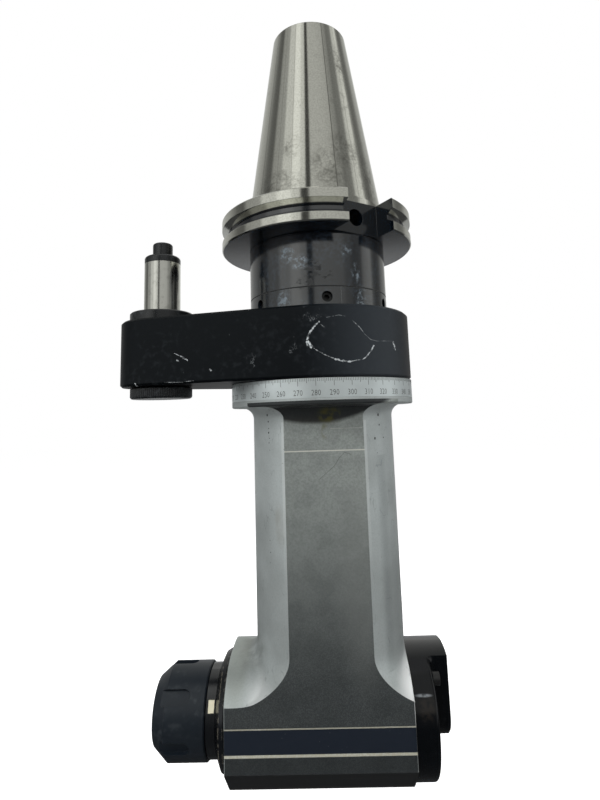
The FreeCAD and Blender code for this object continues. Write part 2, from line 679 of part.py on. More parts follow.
# Input shaft from the shank down to the drive gear.
shaft = turned("input_turning", [
    (0, "-input_top"), ("input_radius", "-input_top"), ("input_radius", "-collar_seat"),
    ("input_collar", "-collar_seat"), ("input_collar", "-lower_seat"),
    ("lower_bearing_bore", "-lower_seat"), ("lower_bearing_bore", "-lower_foot"),
    ("drive_seat_radius", "-lower_foot"), ("drive_seat_radius", "-shaft_end"),
    ("gear_screw_radius + fit_gap", "-shaft_end"),
    ("gear_screw_radius + fit_gap", "-(shaft_end - gear_screw_length - 1)"),
    (0, "-(shaft_end - gear_screw_length - 1)")])
input_key = block("input_key_block", "input_key_width", "input_key_height", "input_key_length",
                  ("-input_key_width / 2", "input_radius - input_key_height / 2",
                   "-(input_top + input_key_length + 2)"))
node(turn(group("input_key_group", [input_key]), "slot_turn"), "input_key")
shaft_key_way = block("shaft_key_way", "input_key_width + 2 * fit_gap", "input_key_height",
                      "input_key_length + 2 * fit_gap",
                      ("-(input_key_width / 2 + fit_gap)", "input_radius - input_key_height / 2 - fit_gap",
                       "-(input_top + input_key_length + fit_gap + 2)"))
drive_key_way = block("drive_key_way", "gear_key_width + 2 * fit_gap", "gear_key_height",
                      "gear_hub_back - pitch_radius - 2",
                      ("-(gear_key_width / 2 + fit_gap)", "drive_seat_radius - gear_key_height / 2 - fit_gap",
                       "-(axis_drop - pitch_radius - 1)"))
shaft_ways = group("shaft_key_ways", [shaft_key_way, drive_key_way])
node(turn(cut("input_shaft_cut", shaft, shaft_ways), "slot_turn"), "input_shaft")
node(ring("lock_nut_turning", "upper_journal + fit_gap", "lock_nut_radius", "upper_foot", "lock_nut_height"),
     "shank_lock_nut")
ball_bearing("upper_bearing", "upper_journal", "upper_bearing_radius", "upper_bearing_width", "upper_seat", 2, True)
ball_bearing("lower_bearing", "lower_bearing_bore", "lower_bearing_radius", "lower_bearing_width", "lower_seat", 1, True)


def involute_half_width(radius, pitch_radius, base_radius, half_thickness):
    """Half the tooth's angle at a radius of the back cone's flat gear."""
    def spread(r):
        return math.sqrt(max(r * r / base_radius ** 2 - 1, 0)) - math.atan(math.sqrt(max(r * r / base_radius ** 2 - 1, 0)))
    return half_thickness / pitch_radius + spread(pitch_radius) - spread(max(radius, base_radius))


def tooth_section(scale):
    """One closed tooth outline across the cone at a share of the outer cone distance.

    The outline lies on the plane square to the pitch cone, with +Z as the gear's axis, the
    apex at the origin and the tooth pointing along +X.
    """
    module, teeth = size("gear_module"), size("gear_teeth")
    pitch = module * teeth / 2
    back_cone = pitch * math.sqrt(2)
    base = back_cone * math.cos(math.radians(size("pressure_angle")))
    half = module * math.pi / 4 - size("gear_backlash") / 4
    # The lowest point lies inside the blank, the others share out the flank up to the tip.
    heights = [share * module for share in (-1.45, -0.6, 0, 0.5, 1)]
    flank = []
    for height in heights:
        r = back_cone + height
        angle = involute_half_width(r, back_cone, base, half)
        flank.append((height, r * math.sin(angle)))

    def point(height, side):
        u = pitch + height * math.sqrt(0.5)
        z = pitch - height * math.sqrt(0.5)
        return FreeCAD.Vector(u * scale, side * scale, z * scale)
    left = [point(h_, -s_) for h_, s_ in flank]
    right = [point(h_, s_) for h_, s_ in reversed(flank)]
    sides = []
    for points in (left, right):
        curve = Part.BSplineCurve()
        curve.interpolate(points)
        sides.append(curve.toShape())
    top = Part.makeLine(left[-1], right[0])
    bottom = Part.makeLine(right[-1], left[0])
    return Part.Wire([sides[0], top, sides[1], bottom])


def bevel_gear(name, bore, hub_back, first_angle):
    """A straight bevel gear about Z with its apex at the origin and its teeth facing down."""
    module, teeth = size("gear_module"), int(round(size("gear_teeth")))
    pitch = module * teeth / 2
    inner = 1 - size("gear_face") / (pitch * math.sqrt(2))
    dedendum = size("dedendum_share") * module * math.sqrt(0.5)
    root_r, root_z = pitch - dedendum, pitch + dedendum
    corners = [(bore, root_z * inner), (root_r * inner, root_z * inner), (root_r, root_z),
               (size("gear_hub_radius"), root_z + root_r - size("gear_hub_radius")),
               (size("gear_hub_radius"), hub_back), (bore, hub_back)]
    points = [FreeCAD.Vector(r, 0, z) for r, z in corners]
    blank = Part.Face(Part.makePolygon(points + points[:1])).revolve(FreeCAD.Vector(), Z_AXIS, 360)
    outer_end = tooth_section(1.0)
    inner_end = tooth_section(inner)
    tooth = Part.makeLoft([inner_end, outer_end], True, True)
    turned_teeth = []
    for i in range(teeth):
        copy = tooth.copy()
        copy.rotate(FreeCAD.Vector(), Z_AXIS, first_angle + i * 360 / teeth)
        turned_teeth.append(copy)
    item = doc.addObject("Part::Feature", name)
    item.Shape = blank.fuse(turned_teeth).removeSplitter()
    return item


def gear_key(name, seat, length, start):
    """A gear key on the +Y side of its shaft; start is its low end along the gear's axis."""
    return block(name, "gear_key_width", "gear_key_height", length,
                 ("-gear_key_width / 2", f"{seat} - gear_key_height / 2", start))


def gear_key_way(name, seat):
    return block(name, "gear_key_width + 2 * fit_gap", "gear_key_height + fit_gap", "gear_hub_back",
                 ("-(gear_key_width / 2 + fit_gap)", f"{seat} - gear_key_height / 2 - fit_gap",
                  "pitch_radius + 1"))


# Bevel gears in mesh: a tooth of the drive gear points along +X, into a gap of the output gear.
drive_blank = bevel_gear("drive_gear_blank", size("drive_seat_radius") + size("fit_gap"), size("gear_hub_back"), 0)
drive_way = gear_key_way("drive_gear_way", "drive_seat_radius")
drive = cut("drive_gear_cut", drive_blank, turn(group("drive_way_turned", [drive_way]), "slot_turn"))
node(place(drive, (0, 0, "-axis_drop")), "drive_gear")
drive_key = gear_key("drive_key_block", "drive_seat_radius", "gear_hub_back - pitch_radius - 2 * gear_key_inset",
                     "pitch_radius + gear_key_inset")
node(place(group("drive_key_group", [turn(group("drive_key_turned", [drive_key]), "slot_turn")]),
           (0, 0, "-axis_drop")), "drive_gear_key")
washer_foot = "(gear_small_face + gear_washer_height)"
screw = turned("gear_screw_turning", [
    (0, "-(shaft_end - gear_screw_length)"), ("gear_screw_radius", "-(shaft_end - gear_screw_length)"),
    ("gear_screw_radius", "-gear_small_face"), ("gear_washer_radius", "-gear_small_face"),
    ("gear_washer_radius", f"-{washer_foot}"), ("gear_screw_head", f"-{washer_foot}"),
    ("gear_screw_head", f"-({washer_foot} + gear_screw_height)"), (0, f"-({washer_foot} + gear_screw_height)")])
socket = hexagon("gear_screw_socket", "gear_screw_radius", "gear_screw_height",
                 (0, 0, f"-({washer_foot} + gear_screw_height)"))
node(cut("gear_screw_cut", screw, socket), "drive_gear_screw")

# Stop arm: a thick plate round the spindle, held to the housing by screws into a round tee slot.
slope = "((arm_radius - arm_end_radius) / pin_reach)"
lean = f"sqrt(1 - {slope} * {slope})"
tangents = [(f"-arm_radius * {slope}", f"arm_radius * {lean}"),
            (f"-pin_reach - arm_end_radius * {slope}", f"arm_end_radius * {lean}"),
            (f"-pin_reach - arm_end_radius * {slope}", f"-arm_end_radius * {lean}"),
            (f"-arm_radius * {slope}", f"-arm_radius * {lean}")]
arm = doc.addObject("PartDesign::Body", "arm_body")
pad(arm, "arm_web", polygon(arm, "arm_web_sketch", "XY_Plane", tangents), "arm_bottom", "arm_thickness")
pad(arm, "arm_eye", disc(arm, "arm_eye_sketch", "XY_Plane", 0, 0, "arm_radius"), "arm_bottom", "arm_thickness")
pad(arm, "arm_end", disc(arm, "arm_end_sketch", "XY_Plane", "-pin_reach", 0, "arm_end_radius"),
    "arm_bottom", "arm_thickness")
arm_levels = {round(-(size("flange_drop") + size("flange_height") + size("neck_length") + size("timing_height")
                      + size("turning_gap") + extra), 3) for extra in (0, size("arm_thickness"))}
chamfer(arm, "arm_edges", "arm_edge",
        lambda edge: round(edge.BoundBox.ZMin, 3) in arm_levels and edge.BoundBox.ZLength < 0.001)
sink(arm, "arm_hole", disc(arm, "arm_hole_sketch", "XY_Plane", 0, 0, "arm_hole_radius"), "arm_top",
     "arm_thickness")
sink(arm, "seal_pocket", disc(arm, "seal_pocket_sketch", "XY_Plane", 0, 0, "seal_radius"), "seal_top",
     "arm_thickness")
sink(arm, "neck_bore", disc(arm, "neck_bore_sketch", "XY_Plane", 0, 0, "neck_fit_radius + running_gap"),
     "seal_bottom", "arm_thickness")
sink(arm, "pin_bore", disc(arm, "pin_bore_sketch", "XY_Plane", "-pin_reach", 0, "collar_body_radius + fit_gap"),
     "arm_top", "collar_body_length + fit_gap")
sink(arm, "cap_bore", disc(arm, "cap_bore_sketch", "XY_Plane", "-pin_reach", 0, "thumb_plug_radius + fit_gap"),
     "arm_top", "arm_thickness")
for tool, radius, depth in (("clamp_hole", "clamp_screw_radius + turning_gap", "arm_thickness"),
                            ("clamp_sink", "clamp_head_radius + turning_gap", "clamp_head_sink")):
    spot = disc(arm, tool + "_sketch", "XY_Plane", "clamp_circle * cos(clamp_turn)",
                "clamp_circle * sin(clamp_turn)", radius)
    pattern(arm, tool + "s", sink(arm, tool, spot, "arm_top", depth), "Z_Axis", "clamp_screws")
node(turn(arm, "arm_turn"), "stop_arm")
node(ring("arm_seal_turning", "spigot_radius + running_gap", "seal_radius - fit_gap", "seal_top", "seal_height"),
     "arm_seal")


def cap_screw(name, radius, length, head_radius, head_height, socket_radius):
    """A cap screw about Z: the underside of its head at the origin and its head upwards."""
    shaft_part = cylinder(name + "_shaft", radius, length, (0, 0, f"-({length})"))
    head_part = cylinder(name + "_head", head_radius, head_height)
    key = hexagon(name + "_socket", socket_radius, head_height, (0, 0, f"({head_height}) / 2"))
    return cut(name + "_cut", fuse(name + "_blank", [shaft_part, head_part]), key)


clamp_screw = cap_screw("clamp", "clamp_screw_radius", "tee_floor - tee_gap - arm_top - clamp_head_sink",
                        "clamp_head_radius", "clamp_head_height", "clamp_screw_radius")
clamp_set = []
for i in range(int(size("clamp_screws"))):
    angle = f"clamp_turn + {i} * 360 / clamp_screws"
    spot = (f"clamp_circle * cos({angle})", f"clamp_circle * sin({angle})", "-(arm_top + clamp_head_sink)")
    copy = doc.addObject("Part::Compound", f"clamp_screw_{i + 1}")
    copy.Links = [clamp_screw]
    clamp_set.append(place(copy, spot))
node(turn(group("clamp_screw_set", clamp_set), "arm_turn"), "arm_clamp_screws")

tee = doc.addObject("PartDesign::Body", "tee_nut")
tee_sketch = polygon(tee, "tee_sketch", "XZ_Plane", [
    ("mouth_in + tee_gap", "-(scale_top - tee_gap)"), ("mouth_out - tee_gap", "-(scale_top - tee_gap)"),
    ("mouth_out - tee_gap", "-(tee_top + tee_gap)"), ("tee_out - tee_gap", "-(tee_top + tee_gap)"),
    ("tee_out - tee_gap", "-(tee_floor - tee_gap)"), ("tee_in + tee_gap", "-(tee_floor - tee_gap)"),
    ("tee_in + tee_gap", "-(tee_top + tee_gap)"), ("mouth_in + tee_gap", "-(tee_top + tee_gap)")])
tee_turn = feature(tee, "Revolution", "tee_turning", Profile=tee_sketch, ReferenceAxis=(tee_sketch, ["V_Axis"]),
                   Midplane=True)
bind(tee_turn, Angle="tee_nut_angle")
tee_hole = cylinder("tee_hole", "clamp_screw_radius + fit_gap", "tee_floor", ("clamp_circle", 0, "-tee_floor - 1"))
tee_drilled = cut("tee_drilled", tee, tee_hole)
nuts = []
for i in range(int(size("clamp_screws"))):
    copy = doc.addObject("Part::Compound", f"tee_nut_{i + 1}")
    copy.Links = [tee_drilled]
    nuts.append(turn(copy, f"clamp_turn + {i} * 360 / clamp_screws"))
node(turn(group("tee_nut_set", nuts), "arm_turn"), "clamp_tee_nuts")


def at_pin(item, name):
    """Moves a piece made about Z to the stop pin and turns it with the arm."""
    moved = group(name + "_moved", [item])
    place(moved, ("-pin_reach", 0, 0))
    return node(turn(group(name + "_at_pin", [moved]), "arm_turn"), name)


# Stop pin: a collar in the arm, a ground sleeve and a spring-loaded plunger.
collar_foot = "(arm_top + collar_body_length)"
collar = turned("collar_turning", [
    ("sleeve_root + fit_gap", "-collar_top"), ("collar_flange_radius", "-collar_top"),
    ("collar_flange_radius", "-arm_top"), ("collar_body_radius", "-arm_top"),
    ("collar_body_radius", f"-{collar_foot}"), ("sleeve_root + fit_gap", f"-{collar_foot}")])
collar_rim = -(size("flange_drop") + size("flange_height") + size("neck_length") + size("timing_height")
               + size("turning_gap") - size("collar_flange_height"))
chamfer(collar, "collar_edge", "rim_chamfer", circle_at(size("collar_flange_radius"), collar_rim))
at_pin(collar, "pin_collar")
sleeve = turned("sleeve_turning", [
    ("sleeve_bore", "-sleeve_top"), ("sleeve_radius", "-sleeve_top"), ("sleeve_radius", "-collar_top"),
    ("sleeve_root", "-collar_top"), ("sleeve_root", f"-({collar_foot} - fit_gap)"),
    ("sleeve_bore", f"-({collar_foot} - fit_gap)")])
at_pin(sleeve, "pin_sleeve")
black_cap = turned("sleeve_cap_turning", [
    ("tip_radius + running_gap", "-cap_top"), ("sleeve_radius", "-cap_top"), ("sleeve_radius", "-sleeve_top"),
    ("tip_radius + running_gap", "-sleeve_top")])
cap_level = collar_rim + size("sleeve_height") + size("sleeve_cap_height")
fillet(black_cap, "cap_round", "sleeve_cap_round", circle_at(size("sleeve_radius"), cap_level))
at_pin(black_cap, "pin_sleeve_cap")
plunger = turned("plunger_turning", [
    (0, "-tip_top"), ("tip_radius", "-tip_top"), ("tip_radius", "-step_top"), ("plunger_step", "-step_top"),
    ("plunger_step", "-step_bottom"), ("plunger_stem", "-step_bottom"),
    ("plunger_stem", "-(step_bottom + stem_length)"), (0, "-(step_bottom + stem_length)")])
fillet(plunger, "tip_edge", "tip_round", circle_at(size("tip_radius"), cap_level + size("tip_height")))
at_pin(plunger, "pin_plunger")

spring_line = doc.addObject("Part::Helix", "spring_line")
bind(spring_line, Radius="spring_radius", Height="plug_top - step_bottom - 2 * spring_wire - 2 * fit_gap",
     Pitch="(plug_top - step_bottom - 2 * spring_wire - 2 * fit_gap) / spring_coils")
wire_end = doc.addObject("Part::Circle", "spring_wire_end")
bind(wire_end, Radius="spring_wire")
place(wire_end, ("spring_radius", 0, 0), ALONG_FRONT)
coil = doc.addObject("Part::Sweep", "spring_sweep")
coil.Sections = [wire_end]
coil.Spine = (spring_line, [])
coil.Solid = True
coil.Frenet = True
coil_at = place(group("spring_lifted", [coil]), (0, 0, "-(plug_top - spring_wire - fit_gap)"))
at_pin(coil_at, "plunger_spring")

thumb = turned("thumb_turning", [
    (0, "-plug_top"), ("thumb_plug_radius", "-plug_top"), ("thumb_plug_radius", "-thumb_top"),
    ("thumb_radius", "-thumb_top"), ("thumb_radius", "-thumb_bottom"), (0, "-thumb_bottom")])
thumb_level = collar_rim - size("collar_flange_height") - size("arm_thickness") - size("turning_gap")
chamfer(thumb, "thumb_upper_edge", "thumb_chamfer", circle_at(size("thumb_radius"), thumb_level))
fillet(thumb, "thumb_lower_edge", "thumb_round",
       circle_at(size("thumb_radius"), thumb_level - size("thumb_height")))
notch = disc(thumb, "thumb_notch_sketch", "XY_Plane", "thumb_radius + thumb_notch_out", 0,
             "thumb_notch_radius")
pattern(thumb, "thumb_knurl", sink(thumb, "thumb_notch", notch, "thumb_top", "thumb_height"), "Z_Axis",
        "thumb_notches")
at_pin(thumb, "thumb_cap")

# Housing: a turned column that flares through a cove into the cast head, with machined faces.
column = turned("column_turning", [
    (0, "-housing_top"), ("neck_fit_radius", "-housing_top"), ("neck_fit_radius", "-scale_top"),
    ("mouth_in", "-scale_top"), ("mouth_in", "-tee_top"), ("tee_in", "-tee_top"), ("tee_in", "-tee_floor"),
    ("tee_out", "-tee_floor"), ("tee_out", "-tee_top"), ("mouth_out", "-tee_top"), ("mouth_out", "-scale_top"),
    ("scale_seat_radius", "-scale_top"), ("scale_seat_radius", "-scale_bottom"),
    ("arm_radius", "-scale_bottom"), ("arm_radius", "-lip_bottom"), ("column_radius", "-lip_bottom"),
    ("column_radius", "-(axis_drop - cove_foot)"), (0, "-(axis_drop - cove_foot)")])
lip_level = thumb_level - size("scale_height") - size("lip_height")
fillet(column, "lip_rounding", "lip_round", circle_at(size("arm_radius"), lip_level))
fillet(column, "lip_coving", "lip_cove", circle_at(size("column_radius"), lip_level))
flare_disc = cylinder("flare_disc", "column_radius + cove_radius", "cove_radius",
                      (0, 0, "-(axis_drop - cove_foot)"))
flare_hollow = bind(doc.addObject("Part::Torus", "flare_hollow"), Radius1="column_radius + cove_radius",
                    Radius2="cove_radius")
flare = cut("flare", flare_disc, place(flare_hollow, (0, 0, "-cove_level")))
footprint = block("head_footprint", "head_left + head_right", "2 * head_half", "cove_radius",
                  ("-head_left", "-head_half", "-(axis_drop - cove_foot)"))
head = doc.addObject("PartDesign::Body", "head_body")
head_sketch = polygon(head, "head_sketch", "YZ_Plane", [
    ("-head_half", "head_top - axis_drop"), ("head_half", "head_top - axis_drop"),
    ("head_half", "-(axis_drop + head_bevel_drop - (head_half - flat_depth))"),
    (0, "-(axis_drop + head_bevel_drop + flat_depth)"),
    ("-head_half", "-(axis_drop + head_bevel_drop - (head_half - flat_depth))")])
pad(head, "head_block", head_sketch, "head_left", "head_left + head_right")


def along_x(y, z):
    """A test for straight edges along X through one point of the section."""
    def wanted(edge):
        box = edge.BoundBox
        return box.XLength > 1 and abs(box.YMin - y) < 0.01 and abs(box.ZMin - z) < 0.01 and box.YLength < 0.01
    return wanted


head_high = size("head_top") - size("axis_drop")
head_low = -(size("axis_drop") + size("head_bevel_drop") + size("flat_depth"))
fillet(head, "head_rounds", "head_round",
       lambda edge: any(along_x(side * size("head_half"), head_high)(edge) for side in (-1, 1)))
fillet(head, "head_belly_round", "head_belly", along_x(0, head_low))
casting = fuse("casting", [column, common("flare_trimmed", [flare, footprint]), head])
face_tools = [
    block("front_face_tool", "3 * head_left", "head_left", "axis_drop",
          ("-1.5 * head_left", "-(flat_depth + head_left)", "-(axis_drop + lip_bottom + flat_start)")),
    block("back_face_tool", "3 * head_left", "head_left", "axis_drop",
          ("-1.5 * head_left", "flat_depth", "-(axis_drop + lip_bottom + flat_start)")),
    block("cover_face_tool", "head_left", "2 * head_left", "head_left + head_top",
          ("head_right", "-head_left", "-(axis_drop + head_left - cove_foot)"))]
faced = cut("faced_casting", casting, group("face_tools", face_tools))
cast = doc.addObject("PartDesign::Body", "cast_body")
cast.BaseFeature = faced
doc.recompute()
cast.Tip = cast.Group[0]


def crease(side):
    """A test for the edges where the cove runs into the head on one side."""
    def wanted(edge):
        box = edge.BoundBox
        if box.ZMax > head_high + 0.01 or box.ZMin < head_high - size("cove_foot") or box.YLength < 1:
            return False
        middle = edge.valueAt((edge.FirstParameter + edge.LastParameter) / 2)
        reach = math.hypot(middle.x, middle.y) - size("column_radius")
        on_cove = 0.3 < reach < size("cove_radius") and box.XLength > 1
        return on_cove and middle.x * side > 0
    return wanted


fillet(cast, "left_crease", "head_crease", crease(-1))
fillet(cast, "right_crease", "cover_crease", crease(1))


def head_corner(edge):
    """A test for the upright corners between the machined faces and the head's ends."""
    box = edge.BoundBox
    on_end = min(abs(box.XMin + size("head_left")), abs(box.XMin - size("head_right"))) < 0.01
    return on_end and box.XLength < 0.01 and box.YLength < 0.01 and abs(abs(box.YMin) - size("flat_depth")) < 0.01


chamfer(cast, "head_corners", "head_edge", head_corner)

# Machining of the casting: channel across the front, bores, tee slot entry and screw holes.
channel = doc.addObject("PartDesign::Body", "channel_body")
channel_sketch = polygon(channel, "channel_sketch", "YZ_Plane", [
    ("-flat_depth", "band_top - axis_drop"), ("-(flat_depth - band_depth)", "band_top - band_bevel - axis_drop"),
    ("-(flat_depth - band_depth)", "band_top - band_height + band_bevel - axis_drop"),
    ("-flat_depth", "band_top - band_height - axis_drop"),
    ("-(flat_depth + overcut)", "band_top - band_height - axis_drop"),
    ("-(flat_depth + overcut)", "band_top - axis_drop")])
pad(channel, "channel", channel_sketch, "2 * head_left", "4 * head_left")
bore = turned("upright_bore", [
    (0, "-(housing_top - 1)"), ("upper_bearing_radius", "-(housing_top - 1)"),
    ("upper_bearing_radius", "-upper_foot"), ("lock_nut_room", "-upper_foot"),
    ("lock_nut_room", "-(lock_nut_foot + lock_nut_height)"),
    ("lower_bearing_radius", "-(lock_nut_foot + lock_nut_height)"),
    ("lower_bearing_radius", "-(lower_seat - circlip_width)"),
    ("lower_bearing_radius + circlip_depth", "-(lower_seat - circlip_width)"),
    ("lower_bearing_radius + circlip_depth", "-lower_seat"),
    ("lower_bearing_radius", "-lower_seat"), ("lower_bearing_radius", "-lower_foot"),
    ("lower_bearing_radius + circlip_depth", "-lower_foot"),
    ("lower_bearing_radius + circlip_depth", "-(lower_foot + circlip_width)"),
    ("lower_bearing_radius", "-(lower_foot + circlip_width)"), ("lower_bearing_radius", "-axis_drop"),
    (0, "-axis_drop")])
cross_bore = place(turned("cross_bore", [
    ("-(head_left + 1)", 0), ("-(head_left + 1)", "front_bearing_radius"),
    ("-front_foot", "front_bearing_radius"), ("-front_foot", "cavity_radius"),
    ("head_right + 1", "cavity_radius"), ("head_right + 1", 0)], "H_Axis"), (0, 0, "-axis_drop"))
tee_entry = cylinder("tee_entry", "tee_width / 2", "tee_floor - scale_top + 1",
                     (0, "clamp_circle", "-tee_floor"))
grub_hole = cylinder("scale_hole", "scale_screw_radius + fit_gap", "scale_screw_length + 1",
                     (0, "-(arm_radius - scale_screw_length)", "-(scale_bottom - scale_screw_rise)"),
                     ALONG_FRONT)
grub_holes = round_copies("scale_holes", grub_hole, "scale_screws", "scale_screw_turn")
cover_hole = cylinder("cover_hole", "cover_screw_radius + fit_gap", "cover_screw_bite + 1",
                      ("head_right - cover_screw_bite - head_play", 0, 0), ALONG_X)


def cover_spots(level):
    """The places of the upper (1) or lower (-1) pair of cover screws round the spindle axis."""
    return [(f"{side} * cover_screw_circle * cos(cover_screw_turn)",
             f"{level} * cover_screw_circle * sin(cover_screw_turn)") for side in (-1, 1)]


def round_cover(name, item, levels=(1, -1)):
    """Copies of a piece made along X, at the cover screws of the named levels."""
    copies = []
    for y, z in [spot for level in levels for spot in cover_spots(level)]:
        copy = doc.addObject("Part::Compound", f"{name}_{len(copies) + 1}")
        copy.Links = [item]
        copies.append(place(copy, (0, y, f"{z} - axis_drop")))
    return group(name, copies)


cuts = group("housing_cuts", [channel, bore, cross_bore, tee_entry, grub_holes,
                              round_cover("cover_holes", cover_hole)])
node(cut("housing_cut", cast, cuts), "housing")
node(ring("retainer_turning", "shoulder_radius + 1", "upper_bearing_radius - fit_gap", "housing_top",
          "retainer_height"), "bearing_retainer")

scale = turned("scale_turning", [
    ("scale_seat_radius + fit_gap", "-scale_top"), ("arm_radius", "-scale_top"), ("arm_radius", "-scale_bottom"),
    ("scale_seat_radius + fit_gap", "-scale_bottom")])
grub_tool = round_copies("scale_ring_holes", grub_hole, "scale_screws", "scale_screw_turn")
node(cut("scale_cut", scale, grub_tool), "scale_ring")
scale_grub = cylinder("scale_grub", "scale_screw_radius", "scale_screw_length - turning_gap",
                      (0, "-(arm_radius - scale_screw_length + running_gap)", "-(scale_bottom - scale_screw_rise)"),
                      ALONG_FRONT)
scale_socket = hexagon("scale_socket", "scale_screw_radius * key_share", "scale_screw_length",
                       (0, "-(arm_radius - scale_screw_length / 2)", "-(scale_bottom - scale_screw_rise)"),
                       ALONG_FRONT)
node(round_copies("scale_screw_set", cut("scale_screw", scale_grub, scale_socket), "scale_screws",
                  "scale_screw_turn"), "scale_ring_screws")

clips = []
for top in ("lower_seat - circlip_width", "lower_foot"):
    label = "upper" if not clips else "under"
    clip = ring(f"{label}_clip", "lower_bearing_radius + circlip_depth - fit_gap - circlip_height",
                "lower_bearing_radius + circlip_depth - fit_gap", top, "circlip_width")
    gap = block(f"{label}_clip_gap", "circlip_height * 3", "circlip_height * 3", "circlip_width + 2",
                ("lower_bearing_radius - 2 * circlip_height", "-1.5 * circlip_height", f"-({top} + circlip_width + 1)"))
    clips.append(cut(f"{label}_clip_open", clip, gap))
node(group("lower_clip_set", clips), "lower_circlips")

# Front of the head: two bearings, the cap with its seal, then the spindle nose.
ball_bearing("front_bearing", "front_bearing_bore", "front_bearing_radius", "front_bearing_width", "-front_seat", 2,
             False)
cap = turned("cap_turning", [
    ("-front_seat", "front_seal_radius + fit_gap"), ("-front_seat", "front_bearing_radius - fit_gap"),
    ("-head_left", "front_bearing_radius - fit_gap"), ("-head_left", "cap_radius"),
    ("-(head_left + cap_rim)", "cap_radius"), ("-(head_left + cap_shoulder)", "cap_shoulder_radius"),
    ("-cap_front", "cap_nose_radius"),
    ("-cap_front", "spindle_seal_radius + turning_gap"),
    ("-seal_front", "spindle_seal_radius + turning_gap"), ("-seal_front", "front_seal_radius + fit_gap")],
    "H_Axis")
cap_hole = disc(cap, "cap_hole_sketch", "YZ_Plane", "cap_hole_circle", 0, "cap_hole_radius")
pattern(cap, "cap_holes", sink(cap, "cap_hole", cap_hole, "cap_front - cap_hole_depth", "cap_hole_depth + 1"),
        "X_Axis", "cap_hole_count")
node(place(cap, (0, 0, "-axis_drop"), FreeCAD.Rotation(X_AXIS, 45)), "front_bearing_cap")
node(cross_ring("front_seal_turning", "spindle_seal_radius + running_gap", "front_seal_radius",
                "-seal_front", "front_seal_length - turning_gap"), "front_seal")

# Output spindle with its collar, threaded nose and collet seat.
clip_groove = "(spindle_radius - clip_depth)"
spindle = turned("spindle_turning", [
    ("-nose_front", "collet_mouth"), ("-nose_front", "nose_radius"), ("-collar_front", "nose_radius"),
    ("-collar_front", "collar_radius"), ("-collar_back", "collar_radius"),
    ("-collar_back", "spindle_seal_radius"), ("-front_seat", "spindle_seal_radius"),
    ("-front_seat", "front_bearing_bore"), ("-front_foot", "front_bearing_bore"),
    ("-front_foot", "spindle_radius"), ("gear_front - clip_width", "spindle_radius"),
    ("gear_front - clip_width", clip_groove), ("gear_front", clip_groove), ("gear_front", "spindle_radius"),
    ("rear_foot", "spindle_radius"), ("rear_foot", clip_groove), ("rear_foot + clip_width", clip_groove),
    ("rear_foot + clip_width", "spindle_radius"), ("tail_start", "spindle_radius"),
    ("tail_start", "tail_radius"), ("tail_end", "tail_radius"), ("tail_end", "coolant_radius"),
    ("-(seat_end - drawhole_length)", "coolant_radius"), ("-(seat_end - drawhole_length)", "drawhole_radius"),
    ("-seat_end", "drawhole_radius"), ("-seat_end", "collet_end_radius")], "H_Axis")
flat = polygon(spindle, "collar_flat_sketch", "YZ_Plane", [
    ("-collar_radius", "collar_flat"), ("collar_radius", "collar_flat"),
    ("collar_radius", "2 * collar_radius"), ("-collar_radius", "2 * collar_radius")])
pattern(spindle, "collar_flats", sink(spindle, "collar_flat_cut", flat, "collar_back", "collar_length"), "X_Axis",
        "collar_flat_count")
spindle_turned = place(spindle, (0, 0, "-axis_drop"), FreeCAD.Rotation(X_AXIS, 90 - size("collar_turn")))
spindle_way = block("spindle_key_way", "gear_key_length + 2 * fit_gap", "gear_key_height",
                    "gear_key_width + 2 * fit_gap",
                    ("gear_key_start - fit_gap", "spindle_radius - gear_key_height / 2 - fit_gap",
                     "-(axis_drop + gear_key_width / 2 + fit_gap)"))
node(cut("spindle_cut", spindle_turned, spindle_way), "output_spindle")
output_blank = bevel_gear("output_gear_blank", size("spindle_radius") + size("fit_gap"),
                          size("output_hub_back"), 0)
place(output_blank, (0, 0, "-axis_drop"), ALONG_X)
output_way = block("output_gear_way", "gear_key_length * 3", "gear_key_height + fit_gap",
                   "gear_key_width + 2 * fit_gap",
                   ("gear_key_start", "spindle_radius - gear_key_height / 2",
                    "-(axis_drop + gear_key_width / 2 + fit_gap)"))
node(cut("output_gear_cut", output_blank, output_way), "output_gear")
output_key = block("output_key_block", "gear_key_length", "gear_key_height", "gear_key_width",
                   ("gear_key_start", "spindle_radius - gear_key_height / 2",
                    "-(axis_drop + gear_key_width / 2)"))
node(group("output_key_group", [output_key]), "output_gear_key")
node(cross_ring("spindle_nut_turning", "spindle_radius + fit_gap", "spindle_nut_radius", "-front_foot",
                "spindle_nut_width"), "spindle_lock_nut")
spindle_clips = [cross_ring(f"spindle_clip_{i + 1}", f"{clip_groove} + fit_gap", "clip_radius", face, "clip_width")
                 for i, face in enumerate(("gear_front - clip_width", "rear_foot"))]
node(group("spindle_clip_set", spindle_clips), "spindle_circlips")
ball_bearing("rear_bearing", "spindle_radius", "rear_bearing_radius", "rear_bearing_width", "rear_seat", 1, False)

